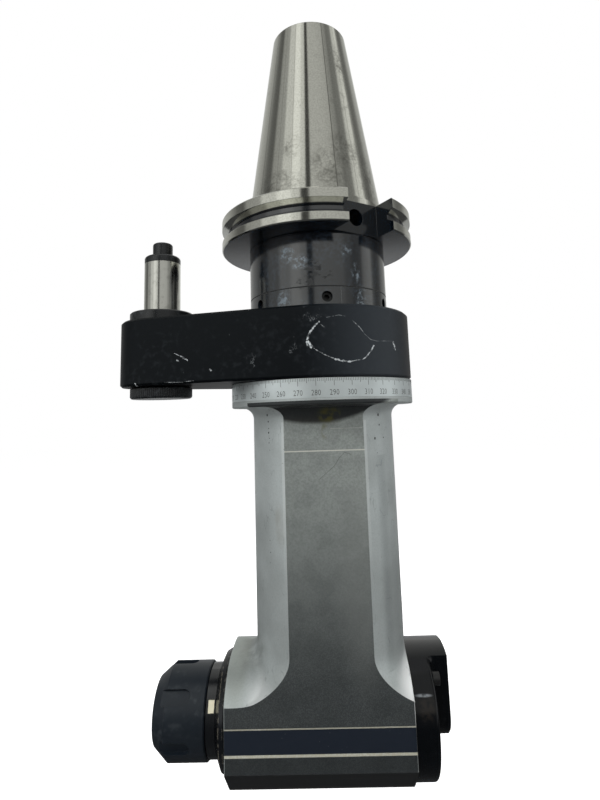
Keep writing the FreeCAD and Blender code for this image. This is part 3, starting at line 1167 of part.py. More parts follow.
# Rear cover: a flange with a spigot over the rear bearing and a boss that carries the coolant passage.
plate = turned("cover_turning", [
    ("rear_seat - spigot_lead", 0), ("rear_seat - spigot_lead", "cavity_radius - fit_gap"),
    ("head_right", "cavity_radius - fit_gap"), ("head_right", "cover_radius"), ("cover_face", "cover_radius"),
    ("cover_face", 0)], "H_Axis")
fillet(plate, "cover_rim", "cover_round",
       circle_at(size("cover_radius"), size("head_right") + size("cover_thickness"), X_AXIS))
boss_round = cylinder("boss_round", "boss_radius", "boss_height + cover_round", ("cover_face - cover_round", 0, 0),
                      ALONG_X)
boss_wall = block("boss_wall", "boss_height + cover_round", "2 * boss_radius", "cover_radius",
                  ("cover_face - cover_round", "-boss_radius", 0))
boss_limit = cylinder("boss_limit", "cover_radius", "2 * cover_face", (0, 0, 0), ALONG_X)
boss = common("boss", [fuse("boss_blank", [boss_round, boss_wall]), boss_limit])
cover = doc.addObject("PartDesign::Body", "cover_body")
cover.BaseFeature = fuse("cover_blank", [plate, boss])
doc.recompute()
cover.Tip = cover.Group[0]
boss_foot = size("head_right") + size("cover_thickness")


def foot_edge(edge):
    """Edges between the cover's face and the boss."""
    box = edge.BoundBox
    if box.XLength > 0.001 or abs(box.XMin - boss_foot) > 0.001:
        return False
    middle = edge.valueAt((edge.FirstParameter + edge.LastParameter) / 2)
    return math.hypot(middle.y, middle.z) < size("cover_radius") - size("cover_round") - 0.01


fillet(cover, "boss_foot", "boss_blend", foot_edge)
chamfer(cover, "boss_edges", "boss_edge",
        lambda edge: edge.BoundBox.XMin > boss_foot + size("boss_height") - 0.01)
cover_bore = turned("cover_bore", [
    ("rear_seat - spigot_lead - 1", 0), ("rear_seat - spigot_lead - 1", "rear_bearing_radius"),
    ("rear_foot", "rear_bearing_radius"), ("rear_foot", "bush_radius"), ("bush_end", "bush_radius"),
    ("bush_end", "chamber_radius"), ("boss_face - boss_wall", "chamber_radius"), ("boss_face - boss_wall", 0)],
    "H_Axis")
passage = cylinder("passage", "passage_radius", "2 * cover_radius", ("cover_face + boss_height / 2", 0, 0),
                   ALONG_BACK)
plug_seat = cylinder("plug_seat", "plug_radius + fit_gap", "cover_radius",
                     ("cover_face + boss_height / 2", "boss_radius - plug_length - plug_sink", 0), ALONG_BACK)
cover_bored = place(cut("cover_bored", cover, group("cover_bores", [cover_bore, passage, plug_seat])),
                    (0, 0, "-axis_drop"))
head_room = cylinder("cover_head_room", "cover_head_radius + head_play", "2 * cover_head_height", ("cover_face", 0, 0),
                     ALONG_X)
sunk_room = cylinder("cover_sunk_room", "cover_head_radius + head_play", "2 * cover_head_height",
                     ("cover_face - cover_head_height - head_play", 0, 0), ALONG_X)
through = cylinder("cover_through", "cover_screw_radius + fit_gap", "2 * cover_thickness",
                   ("head_right - 1", 0, 0), ALONG_X)
cover_tools = group("cover_tools", [round_cover("cover_drillings", through),
                                    round_cover("cover_spot_faces", head_room, (1,)),
                                    round_cover("cover_counterbores", sunk_room, (-1,))])
node(cut("cover_cut", cover_bored, cover_tools), "rear_cover")


def cover_screw(name, seat):
    """A cap screw along X with the underside of its head at one X."""
    shaft_part = cylinder(name + "_shaft", "cover_screw_radius", f"({seat}) - head_right + cover_screw_bite",
                          ("head_right - cover_screw_bite", 0, 0), ALONG_X)
    head_part = cylinder(name + "_head", "cover_head_radius", "cover_head_height", (seat, 0, 0), ALONG_X)
    key = hexagon(name + "_socket", "cover_screw_radius", "cover_head_height",
                  (f"{seat} + cover_head_height / 2", 0, 0), ALONG_X)
    return cut(name, fuse(name + "_blank", [shaft_part, head_part]), key)


upper_screw = cover_screw("cover_screw_upper", "cover_face")
lower_screw = cover_screw("cover_screw_lower", "cover_face - cover_head_height - head_play")
node(group("cover_screw_set", [round_cover("cover_uppers", upper_screw, (1,)),
                               round_cover("cover_lowers", lower_screw, (-1,))]), "rear_cover_screws")
node(cross_ring("bush_turning", "tail_radius + running_gap", "bush_radius - fit_gap", "bush_end - bush_length",
                "bush_length"), "coolant_bush")
plug_start = "boss_radius - plug_length - plug_sink / 2"
plug = cylinder("plug_body", "plug_radius", "plug_length", ("cover_face + boss_height / 2", plug_start, "-axis_drop"),
                ALONG_BACK)
plug_key = hexagon("plug_socket", "plug_radius / 2", "plug_length",
                   ("cover_face + boss_height / 2", f"{plug_start} + plug_length / 2", "-axis_drop"), ALONG_BACK)
node(cut("plug_cut", plug, plug_key), "coolant_plug")

# Collet and its nut.
head_end = "(collet_head_face + collet_head_length)"
collet_back = "(collet_front - collet_length)"
collet = turned("collet_turning", [
    (f"-{collet_back}", "collet_bore"),
    (f"-{collet_back}", f"collet_mouth - (nose_front - {collet_back}) * tan(collet_slope) - running_gap"),
    ("-nose_front", "collet_mouth - running_gap"), ("-collet_head_face", "collet_mouth - running_gap"),
    ("-collet_head_face", "collet_head_radius"), (f"-{head_end}", "collet_head_radius"),
    ("-collet_front", "collet_nose_radius"), ("-collet_front", "collet_bore")], "H_Axis")
slit_runs = (("front_slit", f"-({collet_back} + collet_slit_end)", "-(collet_front + 1)", "collet_slit_turn"),
             ("rear_slit", f"-({collet_back} - 1)", "-(collet_front - collet_slit_end)",
              "collet_slit_turn + 180 / collet_slits"))
for label, start, end, lead in slit_runs:
    slit = polygon(collet, label + "_sketch", "XY_Plane", [
        (start, "collet_slit_width / 2"), (start, "-collet_slit_width / 2"),
        (end, "-collet_slit_width / 2"), (end, "collet_slit_width / 2")])
    slit.AttachmentOffset = FreeCAD.Placement(FreeCAD.Vector(), FreeCAD.Rotation(X_AXIS, 1))
    slit.setExpression("AttachmentOffset.Rotation.Angle", on_sheet(lead))
    run = feature(collet, "Pocket", label, Profile=slit, Reversed=True)
    bind(run, Length="2 * collet_head_radius")
    pattern(collet, label + "s", run, "X_Axis", "collet_slits")
node(place(collet, (0, 0, "-axis_drop")), "collet")

nut = turned("nut_turning", [
    ("-nut_back", "nose_radius + running_gap"), ("-nut_back", "nut_radius"),
    ("-(nut_front - nut_bevel_length)", "nut_radius"), ("-nut_front", "nut_front_radius"),
    ("-nut_front", f"collet_head_radius + nut_cone_gap - (nut_front - {head_end}) * nut_cone_slope"),
    (f"-({head_end} - (nut_head_gap - nut_cone_gap) / nut_cone_slope)", "collet_head_radius + nut_head_gap"),
    ("-(nose_front + turning_gap)", "collet_head_radius + nut_head_gap"),
    ("-(nose_front + turning_gap)", "nose_radius + running_gap")], "H_Axis")
nut_rear = -sum(size(alias) for alias in ("head_left", "cap_length", "turning_gap", "collar_length",
                                          "turning_gap"))
chamfer(nut, "nut_rear_edge", "rim_chamfer", circle_at(size("nut_radius"), nut_rear, X_AXIS))
slot_end = "-(nut_front - nut_slot_length + nut_slot_width / 2)"
slot_run = polygon(nut, "nut_slot_sketch", "XY_Plane", [
    (slot_end, "nut_slot_width / 2"), (slot_end, "-nut_slot_width / 2"),
    ("-(nut_front + 1)", "-nut_slot_width / 2"), ("-(nut_front + 1)", "nut_slot_width / 2")])
slot_round = disc(nut, "nut_slot_end_sketch", "XY_Plane", slot_end, 0, "nut_slot_width / 2")
for label, profile in (("nut_slot", slot_run), ("nut_slot_end", slot_round)):
    pattern(nut, label + "s", sink(nut, label, profile, "-nut_radius", "nut_radius - nut_slot_floor"),
            "X_Axis", "nut_slots")
node(place(nut, (0, 0, "-axis_drop"), FreeCAD.Rotation(X_AXIS, 90 - size("nut_slot_turn"))), "collet_nut")

doc.recompute()
faults = [item.Name for item in doc.Objects if "Invalid" in item.State or "Error" in item.State]
if faults:
    raise RuntimeError(f"features failed: {faults}")
os.makedirs("parts", exist_ok=True)
for name, item in nodes.items():
    shape = item.Shape
    if shape.isNull() or not shape.isValid() or not shape.Solids:
        raise RuntimeError(f"{name} is not a sound solid")
    shape.exportStep(f"parts/{name}.step")
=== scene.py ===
import logging
import math
from dataclasses import dataclass, field
from enum import Enum
from typing import Any, Optional, Sequence, Union

import bpy
from bpy.types import ColorRamp, Material, Node, NodeSocket, Object, World
from mathutils import Matrix, Vector


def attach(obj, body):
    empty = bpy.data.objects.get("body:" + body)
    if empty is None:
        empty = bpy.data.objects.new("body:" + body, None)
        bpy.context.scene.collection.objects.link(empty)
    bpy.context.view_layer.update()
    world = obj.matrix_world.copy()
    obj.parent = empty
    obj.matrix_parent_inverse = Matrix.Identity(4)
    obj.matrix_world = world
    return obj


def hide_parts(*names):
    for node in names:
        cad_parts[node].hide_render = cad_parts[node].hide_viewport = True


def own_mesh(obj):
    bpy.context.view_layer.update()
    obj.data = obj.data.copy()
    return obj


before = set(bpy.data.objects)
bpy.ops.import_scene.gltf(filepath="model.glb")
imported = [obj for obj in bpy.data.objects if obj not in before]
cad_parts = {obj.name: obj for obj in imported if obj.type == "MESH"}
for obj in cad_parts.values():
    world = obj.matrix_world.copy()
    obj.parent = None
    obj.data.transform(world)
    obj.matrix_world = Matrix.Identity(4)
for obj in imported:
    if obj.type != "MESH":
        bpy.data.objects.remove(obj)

LOG = logging.getLogger("right_angle_head")
MM = 0.001
RGB = tuple[float, float, float]
Triple = tuple[float, float, float]
Span = tuple[float, float]
Number = Union[float, "Value"]
EVEN = (1.0, 1.0, 1.0)
WHITE = (1.0, 1.0, 1.0)
OVAL_CORE = 0.35    # share of an oval's radius that is at full strength
FRAY = 3.5          # how far a scratch's edge wanders, in half widths of it
PROUD = 0.02        # how far marks stand out of their surface, in mm


def tone(red: int, green: int, blue: int) -> RGB:
    """A colour seen on a screen, 0 to 255, as linear light.

    Args:
        red: Red, 0 to 255.
        green: Green, 0 to 255.
        blue: Blue, 0 to 255.

    Returns:
        The three linear channels.
    """
    def linear(level: int) -> float:
        share = level / 255
        return share / 12.92 if share <= 0.04045 else ((share + 0.055) / 1.055) ** 2.4
    return linear(red), linear(green), linear(blue)


def scaled(triple: Triple, factor: float) -> Triple:
    """Three numbers times a factor."""
    return tuple(part * factor for part in triple)


@dataclass(frozen=True)
class Blot:
    """A soft oval: its centre as angle and level or as X and Z, half its sides, and its strength there."""

    middle: Span
    size: Span
    share: float = 1.0


@dataclass(frozen=True)
class Grain:
    """Noise that fades in between two of its values, the cut."""

    scale: float
    detail: float
    cut: Span
    share: float = 1.0
    stretch: Triple = EVEN


@dataclass(frozen=True)
class Stain:
    """A colour that covers a share of what lies under it, in its ovals and its grain if it has any."""

    colour: RGB
    share: float
    blots: tuple[Blot, ...] = ()
    grain: Optional[Grain] = None


@dataclass(frozen=True)
class Scratch:
    """A scratch on a front face: half its width, its strength, and the X and Z that it runs through."""

    half: float
    share: float
    corners: tuple[Span, ...]


class Value:
    """A number socket that adds Math nodes when it stands in an expression."""

    def __init__(self, graph: "Graph", socket: NodeSocket) -> None:
        """Keeps the socket and the graph that it belongs to."""
        self.graph = graph
        self.socket = socket

    def math(self, operation: str, *others: Number, swap: bool = False) -> "Value":
        """Adds one Math node.

        Args:
            operation: The node's operation.
            others: Its further inputs.
            swap: Whether this value comes after the first of the others.

        Returns:
            The node's result.
        """
        terms = (others[0], self) if swap else (self, *others)
        made = self.graph.node("ShaderNodeMath", {"operation": operation}, dict(enumerate(terms)))
        return Value(self.graph, made.outputs[0])

    def __add__(self, other: Number) -> "Value":
        """This value plus another."""
        return self.math("ADD", other)

    __radd__ = __add__

    def __sub__(self, other: Number) -> "Value":
        """This value less another."""
        return self.math("SUBTRACT", other)

    def __rsub__(self, other: Number) -> "Value":
        """Another value less this one."""
        return self.math("SUBTRACT", other, swap=True)

    def __mul__(self, other: Number) -> "Value":
        """This value times another."""
        return self.math("MULTIPLY", other)

    __rmul__ = __mul__

    def __truediv__(self, other: Number) -> "Value":
        """This value over another."""
        return self.math("DIVIDE", other)

    def __abs__(self) -> "Value":
        """The size of this value."""
        return self.math("ABSOLUTE")

    def over(self, limit: Number) -> "Value":
        """1 where this value is above a limit, else 0."""
        return self.math("GREATER_THAN", limit)

    def under(self, limit: Number) -> "Value":
        """1 where this value is below a limit, else 0."""
        return self.math("LESS_THAN", limit)

    def between(self, low: float, high: float) -> "Value":
        """1 where this value lies between two limits, else 0."""
        return self.over(low) * self.under(high)

    def rise(self, low: float, high: float, start: float = 0.0, end: float = 1.0) -> "Value":
        """Goes smoothly from start to end while this value goes from low to high."""
        made = self.graph.node("ShaderNodeMapRange", {"interpolation_type": "SMOOTHSTEP"},
                               {0: self, 1: low, 2: high, 3: start, 4: end})
        return Value(self.graph, made.outputs[0])

    def fall(self, low: float, high: float) -> "Value":
        """Goes smoothly from 1 to 0 while this value goes from low to high."""
        return self.rise(low, high, 1.0, 0.0)

    def near(self, middle: float, low: float, high: float) -> "Value":
        """1 less than low away from a middle, 0 more than high away."""
        return abs(self - middle).fall(low, high)

    def either(self, other: Number) -> "Value":
        """The larger of two masks."""
        return self.math("MAXIMUM", other)


class Graph:
    """The node tree of one material or of the world."""

    def __init__(self, name: str, world: Optional[World] = None) -> None:
        """Empties the world's tree, or makes an empty material."""
        self.material = world or bpy.data.materials.new(name)
        self.material.use_nodes = True
        self.tree = self.material.node_tree
        self.tree.nodes.clear()
        self.place = self.node("ShaderNodeTexCoord").outputs["Object"]
        split = self.node("ShaderNodeSeparateXYZ", inputs={0: self.place})
        self.x, self.y, self.z = (Value(self, output) * (1 / MM) for output in split.outputs)
        self.turn = self.x.math("ARCTAN2", self.y * -1)
        self.angle = self.turn * math.degrees(1)
        self.front = self.y.under(0.0)

    def node(self, kind: str, settings: Optional[dict[str, Any]] = None,
             inputs: Optional[dict[Any, Any]] = None) -> Node:
        """Adds any node.

        Args:
            kind: The node's type.
            settings: Its own settings, such as an operation, set first; stops fills a colour ramp.
            inputs: Values or links of its sockets, by name or number.

        Returns:
            The node.
        """
        made = self.tree.nodes.new(kind)
        for name, value in (settings or {}).items():
            if name == "stops":
                self.fill_ramp(made.color_ramp, value)
            else:
                setattr(made, name, value)
        for name, value in (inputs or {}).items():
            self.feed(made.inputs[name], value)
        return made

    def fill_ramp(self, ramp: ColorRamp, stops: Sequence[tuple[float, RGB]]) -> None:
        """Sets the stops of a colour ramp, each a place from 0 to 1 and a colour."""
        while len(ramp.elements) < len(stops):
            ramp.elements.new(1.0)
        for element, (where, colour) in zip(ramp.elements, sorted(stops)):
            element.position = where
            element.color = (*colour, 1.0)

    def feed(self, socket: NodeSocket, value: Any) -> None:
        """Links a value to a socket, or sets the socket to a plain number or colour."""
        if isinstance(value, Value):
            self.tree.links.new(value.socket, socket)
        elif isinstance(value, NodeSocket):
            self.tree.links.new(value, socket)
        elif isinstance(value, tuple) and socket.type == "RGBA":
            socket.default_value = (*value, 1.0)
        else:
            socket.default_value = value

    def distance(self, *terms: Value) -> Value:
        """The root of the sum of squares."""
        total = terms[0] * terms[0]
        for term in terms[1:]:
            total = total + term * term
        return total.math("SQRT")

    def noise(self, scale: float, detail: float, stretch: Triple = EVEN, place: Any = None) -> Value:
        """Noise about 0.5 over the piece.

        Args:
            scale: Cells per metre.
            detail: Octaves.
            stretch: Factors on the three directions.
            place: Another place than the piece's own coordinates.

        Returns:
            The noise.
        """
        mapped = self.node("ShaderNodeMapping", inputs={"Vector": place or self.place, "Scale": stretch})
        inputs = {"Vector": mapped.outputs[0], "Scale": scale, "Detail": detail}
        return Value(self, self.node("ShaderNodeTexNoise", inputs=inputs).outputs["Fac"])

    def specks(self, scale: float, size: float) -> Value:
        """Sparse round spots, with their radius as a share of a cell."""
        cells = self.node("ShaderNodeTexVoronoi", inputs={"Vector": self.place, "Scale": scale})
        chosen = self.noise(scale * 0.37, 1.0).over(0.56)
        return Value(self, cells.outputs["Distance"]).under(size) * chosen

    def turned(self, around: float, along: float) -> NodeSocket:
        """Coordinates round the shank axis: angle times one factor, height times another."""
        inputs = {0: self.turn * around, 1: self.z * (along * MM), 2: 0.0}
        return self.node("ShaderNodeCombineXYZ", inputs=inputs).outputs[0]

    def mix(self, share: Number, first: Any, second: Any) -> NodeSocket:
        """A colour between two others."""
        made = self.node("ShaderNodeMix", {"data_type": "RGBA"}, {0: share, 6: first, 7: second})
        return made.outputs[2]

    def blots(self, across: Value, along: Value, blots: Sequence[Blot]) -> Value:
        """Soft ovals in two coordinates, each its share at its centre and 0 at its edge."""
        whole = None
        for blot in blots:
            (left, up), (wide, tall) = blot.middle, blot.size
            oval = self.distance((across - left) / wide, (along - up) / tall)
            oval = oval.fall(OVAL_CORE, 1.0) * blot.share
            whole = oval if whole is None else whole.either(oval)
        return whole

    def grain(self, grain: Grain) -> Value:
        """Noise that fades in between two of its values."""
        return self.noise(grain.scale, grain.detail, grain.stretch).rise(*grain.cut) * grain.share

    def stained(self, base: Any, stains: Sequence[Stain], where: Number = 1.0) -> Any:
        """Lays stains over a colour, the lowest first, all kept to a mask."""
        for stain in stains:
            mask = where * stain.share
            if stain.blots:
                mask = self.blots(self.x, self.z, stain.blots) * mask
            if stain.grain:
                mask = self.grain(stain.grain) * mask
            base = self.mix(mask, base, stain.colour)
        return base

    def hairs(self, scale: float, width: float, stretch: Triple) -> Value:
        """Thin wandering lines, with their width as a share of the noise's range."""
        return self.noise(scale, 2, stretch).near(0.5, width * 0.3, width)

    def stroke(self, scratch: Scratch, ragged: Value) -> Value:
        """A scratch on a face that looks along Y.

        Args:
            scratch: The scratch.
            ragged: Noise that frays its edge.

        Returns:
            1 in the scratch, falling to 0 at its edge.
        """
        whole = None
        for start, end in zip(scratch.corners, scratch.corners[1:]):
            run = (end[0] - start[0], end[1] - start[1])
            along = (self.x - start[0]) * run[0] + (self.z - start[1]) * run[1]
            held = (along / math.hypot(*run) ** 2).math("MINIMUM", 1.0).math("MAXIMUM", 0.0)
            gap = self.distance(self.x - start[0] - held * run[0], self.z - start[1] - held * run[1])
            whole = gap if whole is None else whole.math("MINIMUM", gap)
        fray = (ragged - 0.5) * (scratch.half * FRAY)
        return (whole + fray).fall(scratch.half * 0.5, scratch.half * 1.2)

    def bump(self, height: Value, depth: float, edge: float = 0.0) -> NodeSocket:
        """A surface raised by a height.

        Args:
            height: 0 to 1.
            depth: What 1 stands for, in mm.
            edge: The small radius that edges are broken to, in mm.

        Returns:
            The normal.
        """
        inputs = {"Height": height, "Distance": depth * MM, "Strength": 1.0}
        if edge:
            inputs["Normal"] = self.node("ShaderNodeBevel", {"samples": 4}, {"Radius": edge * MM}).outputs[0]
        return self.node("ShaderNodeBump", inputs=inputs).outputs[0]

    def surface(self, colour: Any, roughness: Any, metallic: Any, normal: Any, **settings: float) -> Material:
        """Closes the tree with a Principled shader.

        Args:
            colour: Base colour.
            roughness: Roughness.
            metallic: 0 for paint, 1 for bare metal.
            normal: A normal from bump.
            settings: Further sockets, by name.

        Returns:
            The material.
        """
        inputs = {"Base Color": colour, "Roughness": roughness, "Metallic": metallic, "Normal": normal, **settings}
        return self.close(self.node("ShaderNodeBsdfPrincipled", inputs=inputs))

    def close(self, shader: Node, kind: str = "Material") -> Any:
        """Closes the tree with a shader and returns its owner."""
        self.node(f"ShaderNodeOutput{kind}", inputs={"Surface": shader.outputs[0]})
        return self.material

    def seen(self) -> Value:
        """1 on the way to the camera, also by a mirror or glass, 0 where dull surfaces are lit."""
        rays = self.node("ShaderNodeLightPath").outputs
        seen = Value(self, rays["Is Camera Ray"]).either(Value(self, rays["Is Glossy Ray"]))
        return seen.either(Value(self, rays["Is Transmission Ray"]))


def coat(piece: Object, material: Material) -> None:
    """Gives a piece one material."""
    piece.data.materials.clear()
    piece.data.materials.append(material)


def dress(material: Material, *names: str) -> None:
    """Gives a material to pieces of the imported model."""
    for name in names:
        coat(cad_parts[name], material)


@dataclass(frozen=True)
class GroundSteel:
    """Bare ground steel with fine grinding lines."""

    name: str
    colour: RGB = tone(206, 206, 200)
    stain: RGB = tone(128, 128, 120)
    worn: Grain = Grain(320, 4, (0.5, 0.75), 0.35)
    roughness: float = 0.2

    def make(self) -> Material:
        """Builds the material."""
        graph = Graph(self.name)
        lines = graph.noise(34, 4, place=graph.turned(0.5, 90))
        worn = graph.grain(self.worn)
        rough = self.roughness + lines * 0.05 + worn * 0.1
        normal = graph.bump(lines, 0.0008, 0.3)
        return graph.surface(graph.mix(worn, self.colour, self.stain), rough, 1.0, normal)


@dataclass(frozen=True)
class ShankFinish:
    """Ground taper and flange rims over a black oxide neck, underside, gripper groove and drive slots.

    In mm and degrees from the front. A taper line, a thin dark line painted on the taper as a reflection, is its
    angle, half its width and its strength. Smudges lie on the bare steel, scuffs and scribbles on the neck and
    timing ring; two of the scuffs are painted highlights on the timing ring.
    """

    slot_turn: float = 32.3
    slot_half: float = 12.75
    slot_reach: float = 20.0
    flange_top: float = -3.25
    flange_bottom: float = -18.95
    groove_middle: float = -11.4
    groove_half: float = 3.3
    groove_radius: float = 46.2
    taper_foot: float = -3.0
    neck_top: float = -19.3
    seam: float = -45.0
    seam_edge: Span = (0.15, 0.45)
    taper_lines: tuple[Triple, ...] = (
        (18.5, 0.4, 0.8), (-19.5, 0.32, 0.4), (-33, 0.24, 0.3), (37.5, 0.28, 0.35), (46, 0.4, 0.3),
        (-52, 0.6, 0.3))
    smudges: tuple[Blot, ...] = (
        Blot((-20, 27), (12, 9)), Blot((30, 25), (22, 13)), Blot((54, 11), (18, 20)),
        Blot((12, 14), (20, 16)), Blot((-30, 8), (30, 9)), Blot((40, 78), (12, 16)))
    smudge_grains: tuple[Grain, Grain] = (Grain(170, 5, (0.4, 0.66), 0.35), Grain(700, 5, (0.42, 0.62), 0.3))
    clouds: Grain = Grain(170, 5, (0.6, 0.78), 0.3)
    scuffs: tuple[Blot, ...] = (
        Blot((-24, -28.6), (8, 5.5)), Blot((22.6, -27.9), (6.5, 3.6)), Blot((-14, -33), (9, 5)),
        # the last two blots, on the timing ring, are painted highlights; the others are scuffs
        Blot((30, -38), (5, 6)), Blot((-28, -51.5), (7, 8)), Blot((35, -51.5), (7, 9)))
    scuff_grain: Grain = Grain(560, 6, (0.42, 0.7))
    scribbles: tuple[Blot, ...] = (
        Blot((-2, -36.5), (13, 5)), Blot((-10, -43.5), (9, 5)), Blot((8, -39.5), (7, 4)))
    scribble_grain: Grain = Grain(360, 5, (0.46, 0.66), stretch=(1.0, 1.0, 1.8))
    haze_grains: tuple[Grain, Grain] = (Grain(700, 3, (0.42, 0.62)), Grain(60, 3, (0.4, 0.6), 0.6))
    steel: RGB = tone(212, 212, 204)
    soil: RGB = tone(104, 103, 97)
    grit: Stain = Stain(tone(120, 118, 108), 0.22, grain=Grain(1500, 3, (0.35, 0.7)))
    black: RGB = tone(3, 9, 16)
    haze: RGB = tone(34, 44, 54)
    scuff: RGB = tone(104, 118, 128)
    scribble: RGB = tone(4, 8, 12)
    gap: RGB = tone(2, 4, 6)
    index: float = 2.0

    def bare(self, graph: Graph) -> Value:
        """1 on the taper and the flange's rims, 0 on what is black."""
        turn = math.radians(self.slot_turn)
        across = graph.x * math.cos(turn) + graph.y * math.sin(turn)
        reach = graph.y * math.cos(turn) - graph.x * math.sin(turn)
        slot = abs(across).under(self.slot_half) * abs(reach).over(self.slot_reach)
        slot = slot * graph.z.between(self.flange_bottom, self.flange_top)
        groove = graph.distance(graph.x, graph.y).under(self.groove_radius)
        groove = groove * abs(graph.z - self.groove_middle).under(self.groove_half)
        return graph.z.over(self.flange_bottom) * (1 - slot.either(groove))

    def make(self) -> Material:
        """Builds the material."""
        graph = Graph("shank")
        bright = self.bare(graph)
        lines = graph.noise(30, 5, place=graph.turned(0.35, 110))
        grit = graph.noise(1500, 3)
        first, second = (graph.grain(grain) for grain in self.smudge_grains)
        soiled_and_reflected = graph.blots(graph.angle, graph.z, self.smudges) * (first + second)
        soiled_and_reflected = soiled_and_reflected.either(graph.grain(self.clouds))
        # thin dark vertical lines painted on the taper as reflections, darkened along with the smudges
        for angle, half, share in self.taper_lines:
            line = abs(graph.angle - angle).under(half) * graph.z.over(self.taper_foot)
            soiled_and_reflected = soiled_and_reflected.either(line * share)
        steel = graph.stained(graph.mix(soiled_and_reflected, self.steel, self.soil), (self.grit,))
        first, second = (graph.grain(grain) for grain in self.haze_grains)
        scuffed_and_lit = graph.blots(graph.angle, graph.z, self.scuffs) * graph.grain(self.scuff_grain)
        scribbled = graph.blots(graph.angle, graph.z, self.scribbles) * graph.grain(self.scribble_grain)
        seam = graph.z.near(self.seam, *self.seam_edge)
        neck = graph.z.under(self.neck_top)
        dark = graph.mix(first * second * neck, self.black, self.haze)
        # scuffs on the neck, and painted highlights on the timing ring
        dark = graph.mix(scuffed_and_lit * neck * 0.8, dark, self.scuff)
        dark = graph.mix(scribbled * neck * 0.9, dark, self.scribble)
        dark = graph.mix(seam * 0.9, dark, self.gap)
        rough_steel = 0.07 + lines * 0.06 + soiled_and_reflected * 0.2
        rough_black = 0.1 + graph.noise(170, 5) * 0.08 + scuffed_and_lit * 0.25 + scribbled * 0.5 + seam * 0.6
        rough = bright * rough_steel + (1 - bright) * rough_black
        normal = graph.bump(lines * bright + grit * 0.3, 0.0012, 0.35)
        return graph.surface(graph.mix(bright, dark, steel), rough, bright, normal, IOR=self.index)


@dataclass(frozen=True)
class BlackOxide:
    """Blackened steel with faint scuffs and worn spots.

    The painted highlight is where a greyer tone starts and ends along X on the front, and its strength. Nests are
    tangles of thin scratches.
    """

    name: str
    colour: RGB = tone(14, 18, 23)
    worn: RGB = tone(62, 67, 70)
    roughness: float = 0.34
    wear: float = 0.5
    index: float = 1.5
    scratches: tuple[Scratch, ...] = ()
    nests: tuple[Blot, ...] = ()
    sheen: Triple = (0.0, 1.0, 0.0)
    sheen_depth: Span = (-32, -12)
    hazy: RGB = tone(52, 57, 62)
    lit: RGB = tone(186, 192, 194)
    tangled: RGB = tone(96, 100, 102)
    tangle_grain: Grain = Grain(300, 2, (0.48, 0.6))
    edge: float = 0.4
    relief: float = 0.008

    def make(self) -> Material:
        """Builds the material."""
        graph = Graph(self.name)
        grain, cloud, fine = graph.noise(1400, 3), graph.noise(55, 4), graph.noise(420, 5)
        rubbed = fine.rise(0.48, 0.72) * cloud.rise(0.4, 0.6) * self.wear
        rubbed = rubbed.either(grain.rise(0.62, 0.8) * (0.35 * self.wear))
        colour = graph.mix(rubbed, self.colour, self.worn)
        # painted highlight: a greyer tone on the front that grows along X
        start, end, share = self.sheen
        sheen = graph.x.rise(start, end) * graph.y.fall(*self.sheen_depth) * share
        colour = graph.mix(sheen, colour, self.hazy)
        if self.scratches:
            ragged = graph.noise(1100, 4)
            broken = graph.noise(900, 3).rise(0.4, 0.56, 0.12, 1.0) * graph.front
            for scratch in self.scratches:
                mark = graph.stroke(scratch, ragged) * broken * scratch.share
                colour = graph.mix(mark, colour, self.lit)
                rubbed = rubbed.either(mark)
        if self.nests:
            tangle = graph.hairs(620, 0.03, (1.0, 1.0, 0.7)) * graph.grain(self.tangle_grain) * graph.front
            for nest in self.nests:
                mark = graph.blots(graph.x, graph.z, (nest,)).rise(0.1, 0.4) * tangle * 0.6
                colour = graph.mix(mark, colour, self.tangled)
                rubbed = rubbed.either(mark)
        rough = self.roughness + cloud * 0.1 + grain * 0.06 + rubbed * 0.12
        normal = graph.bump(grain * 0.5 + fine * 0.5, self.relief, self.edge)
        return graph.surface(colour, rough, 0.0, normal, IOR=self.index)


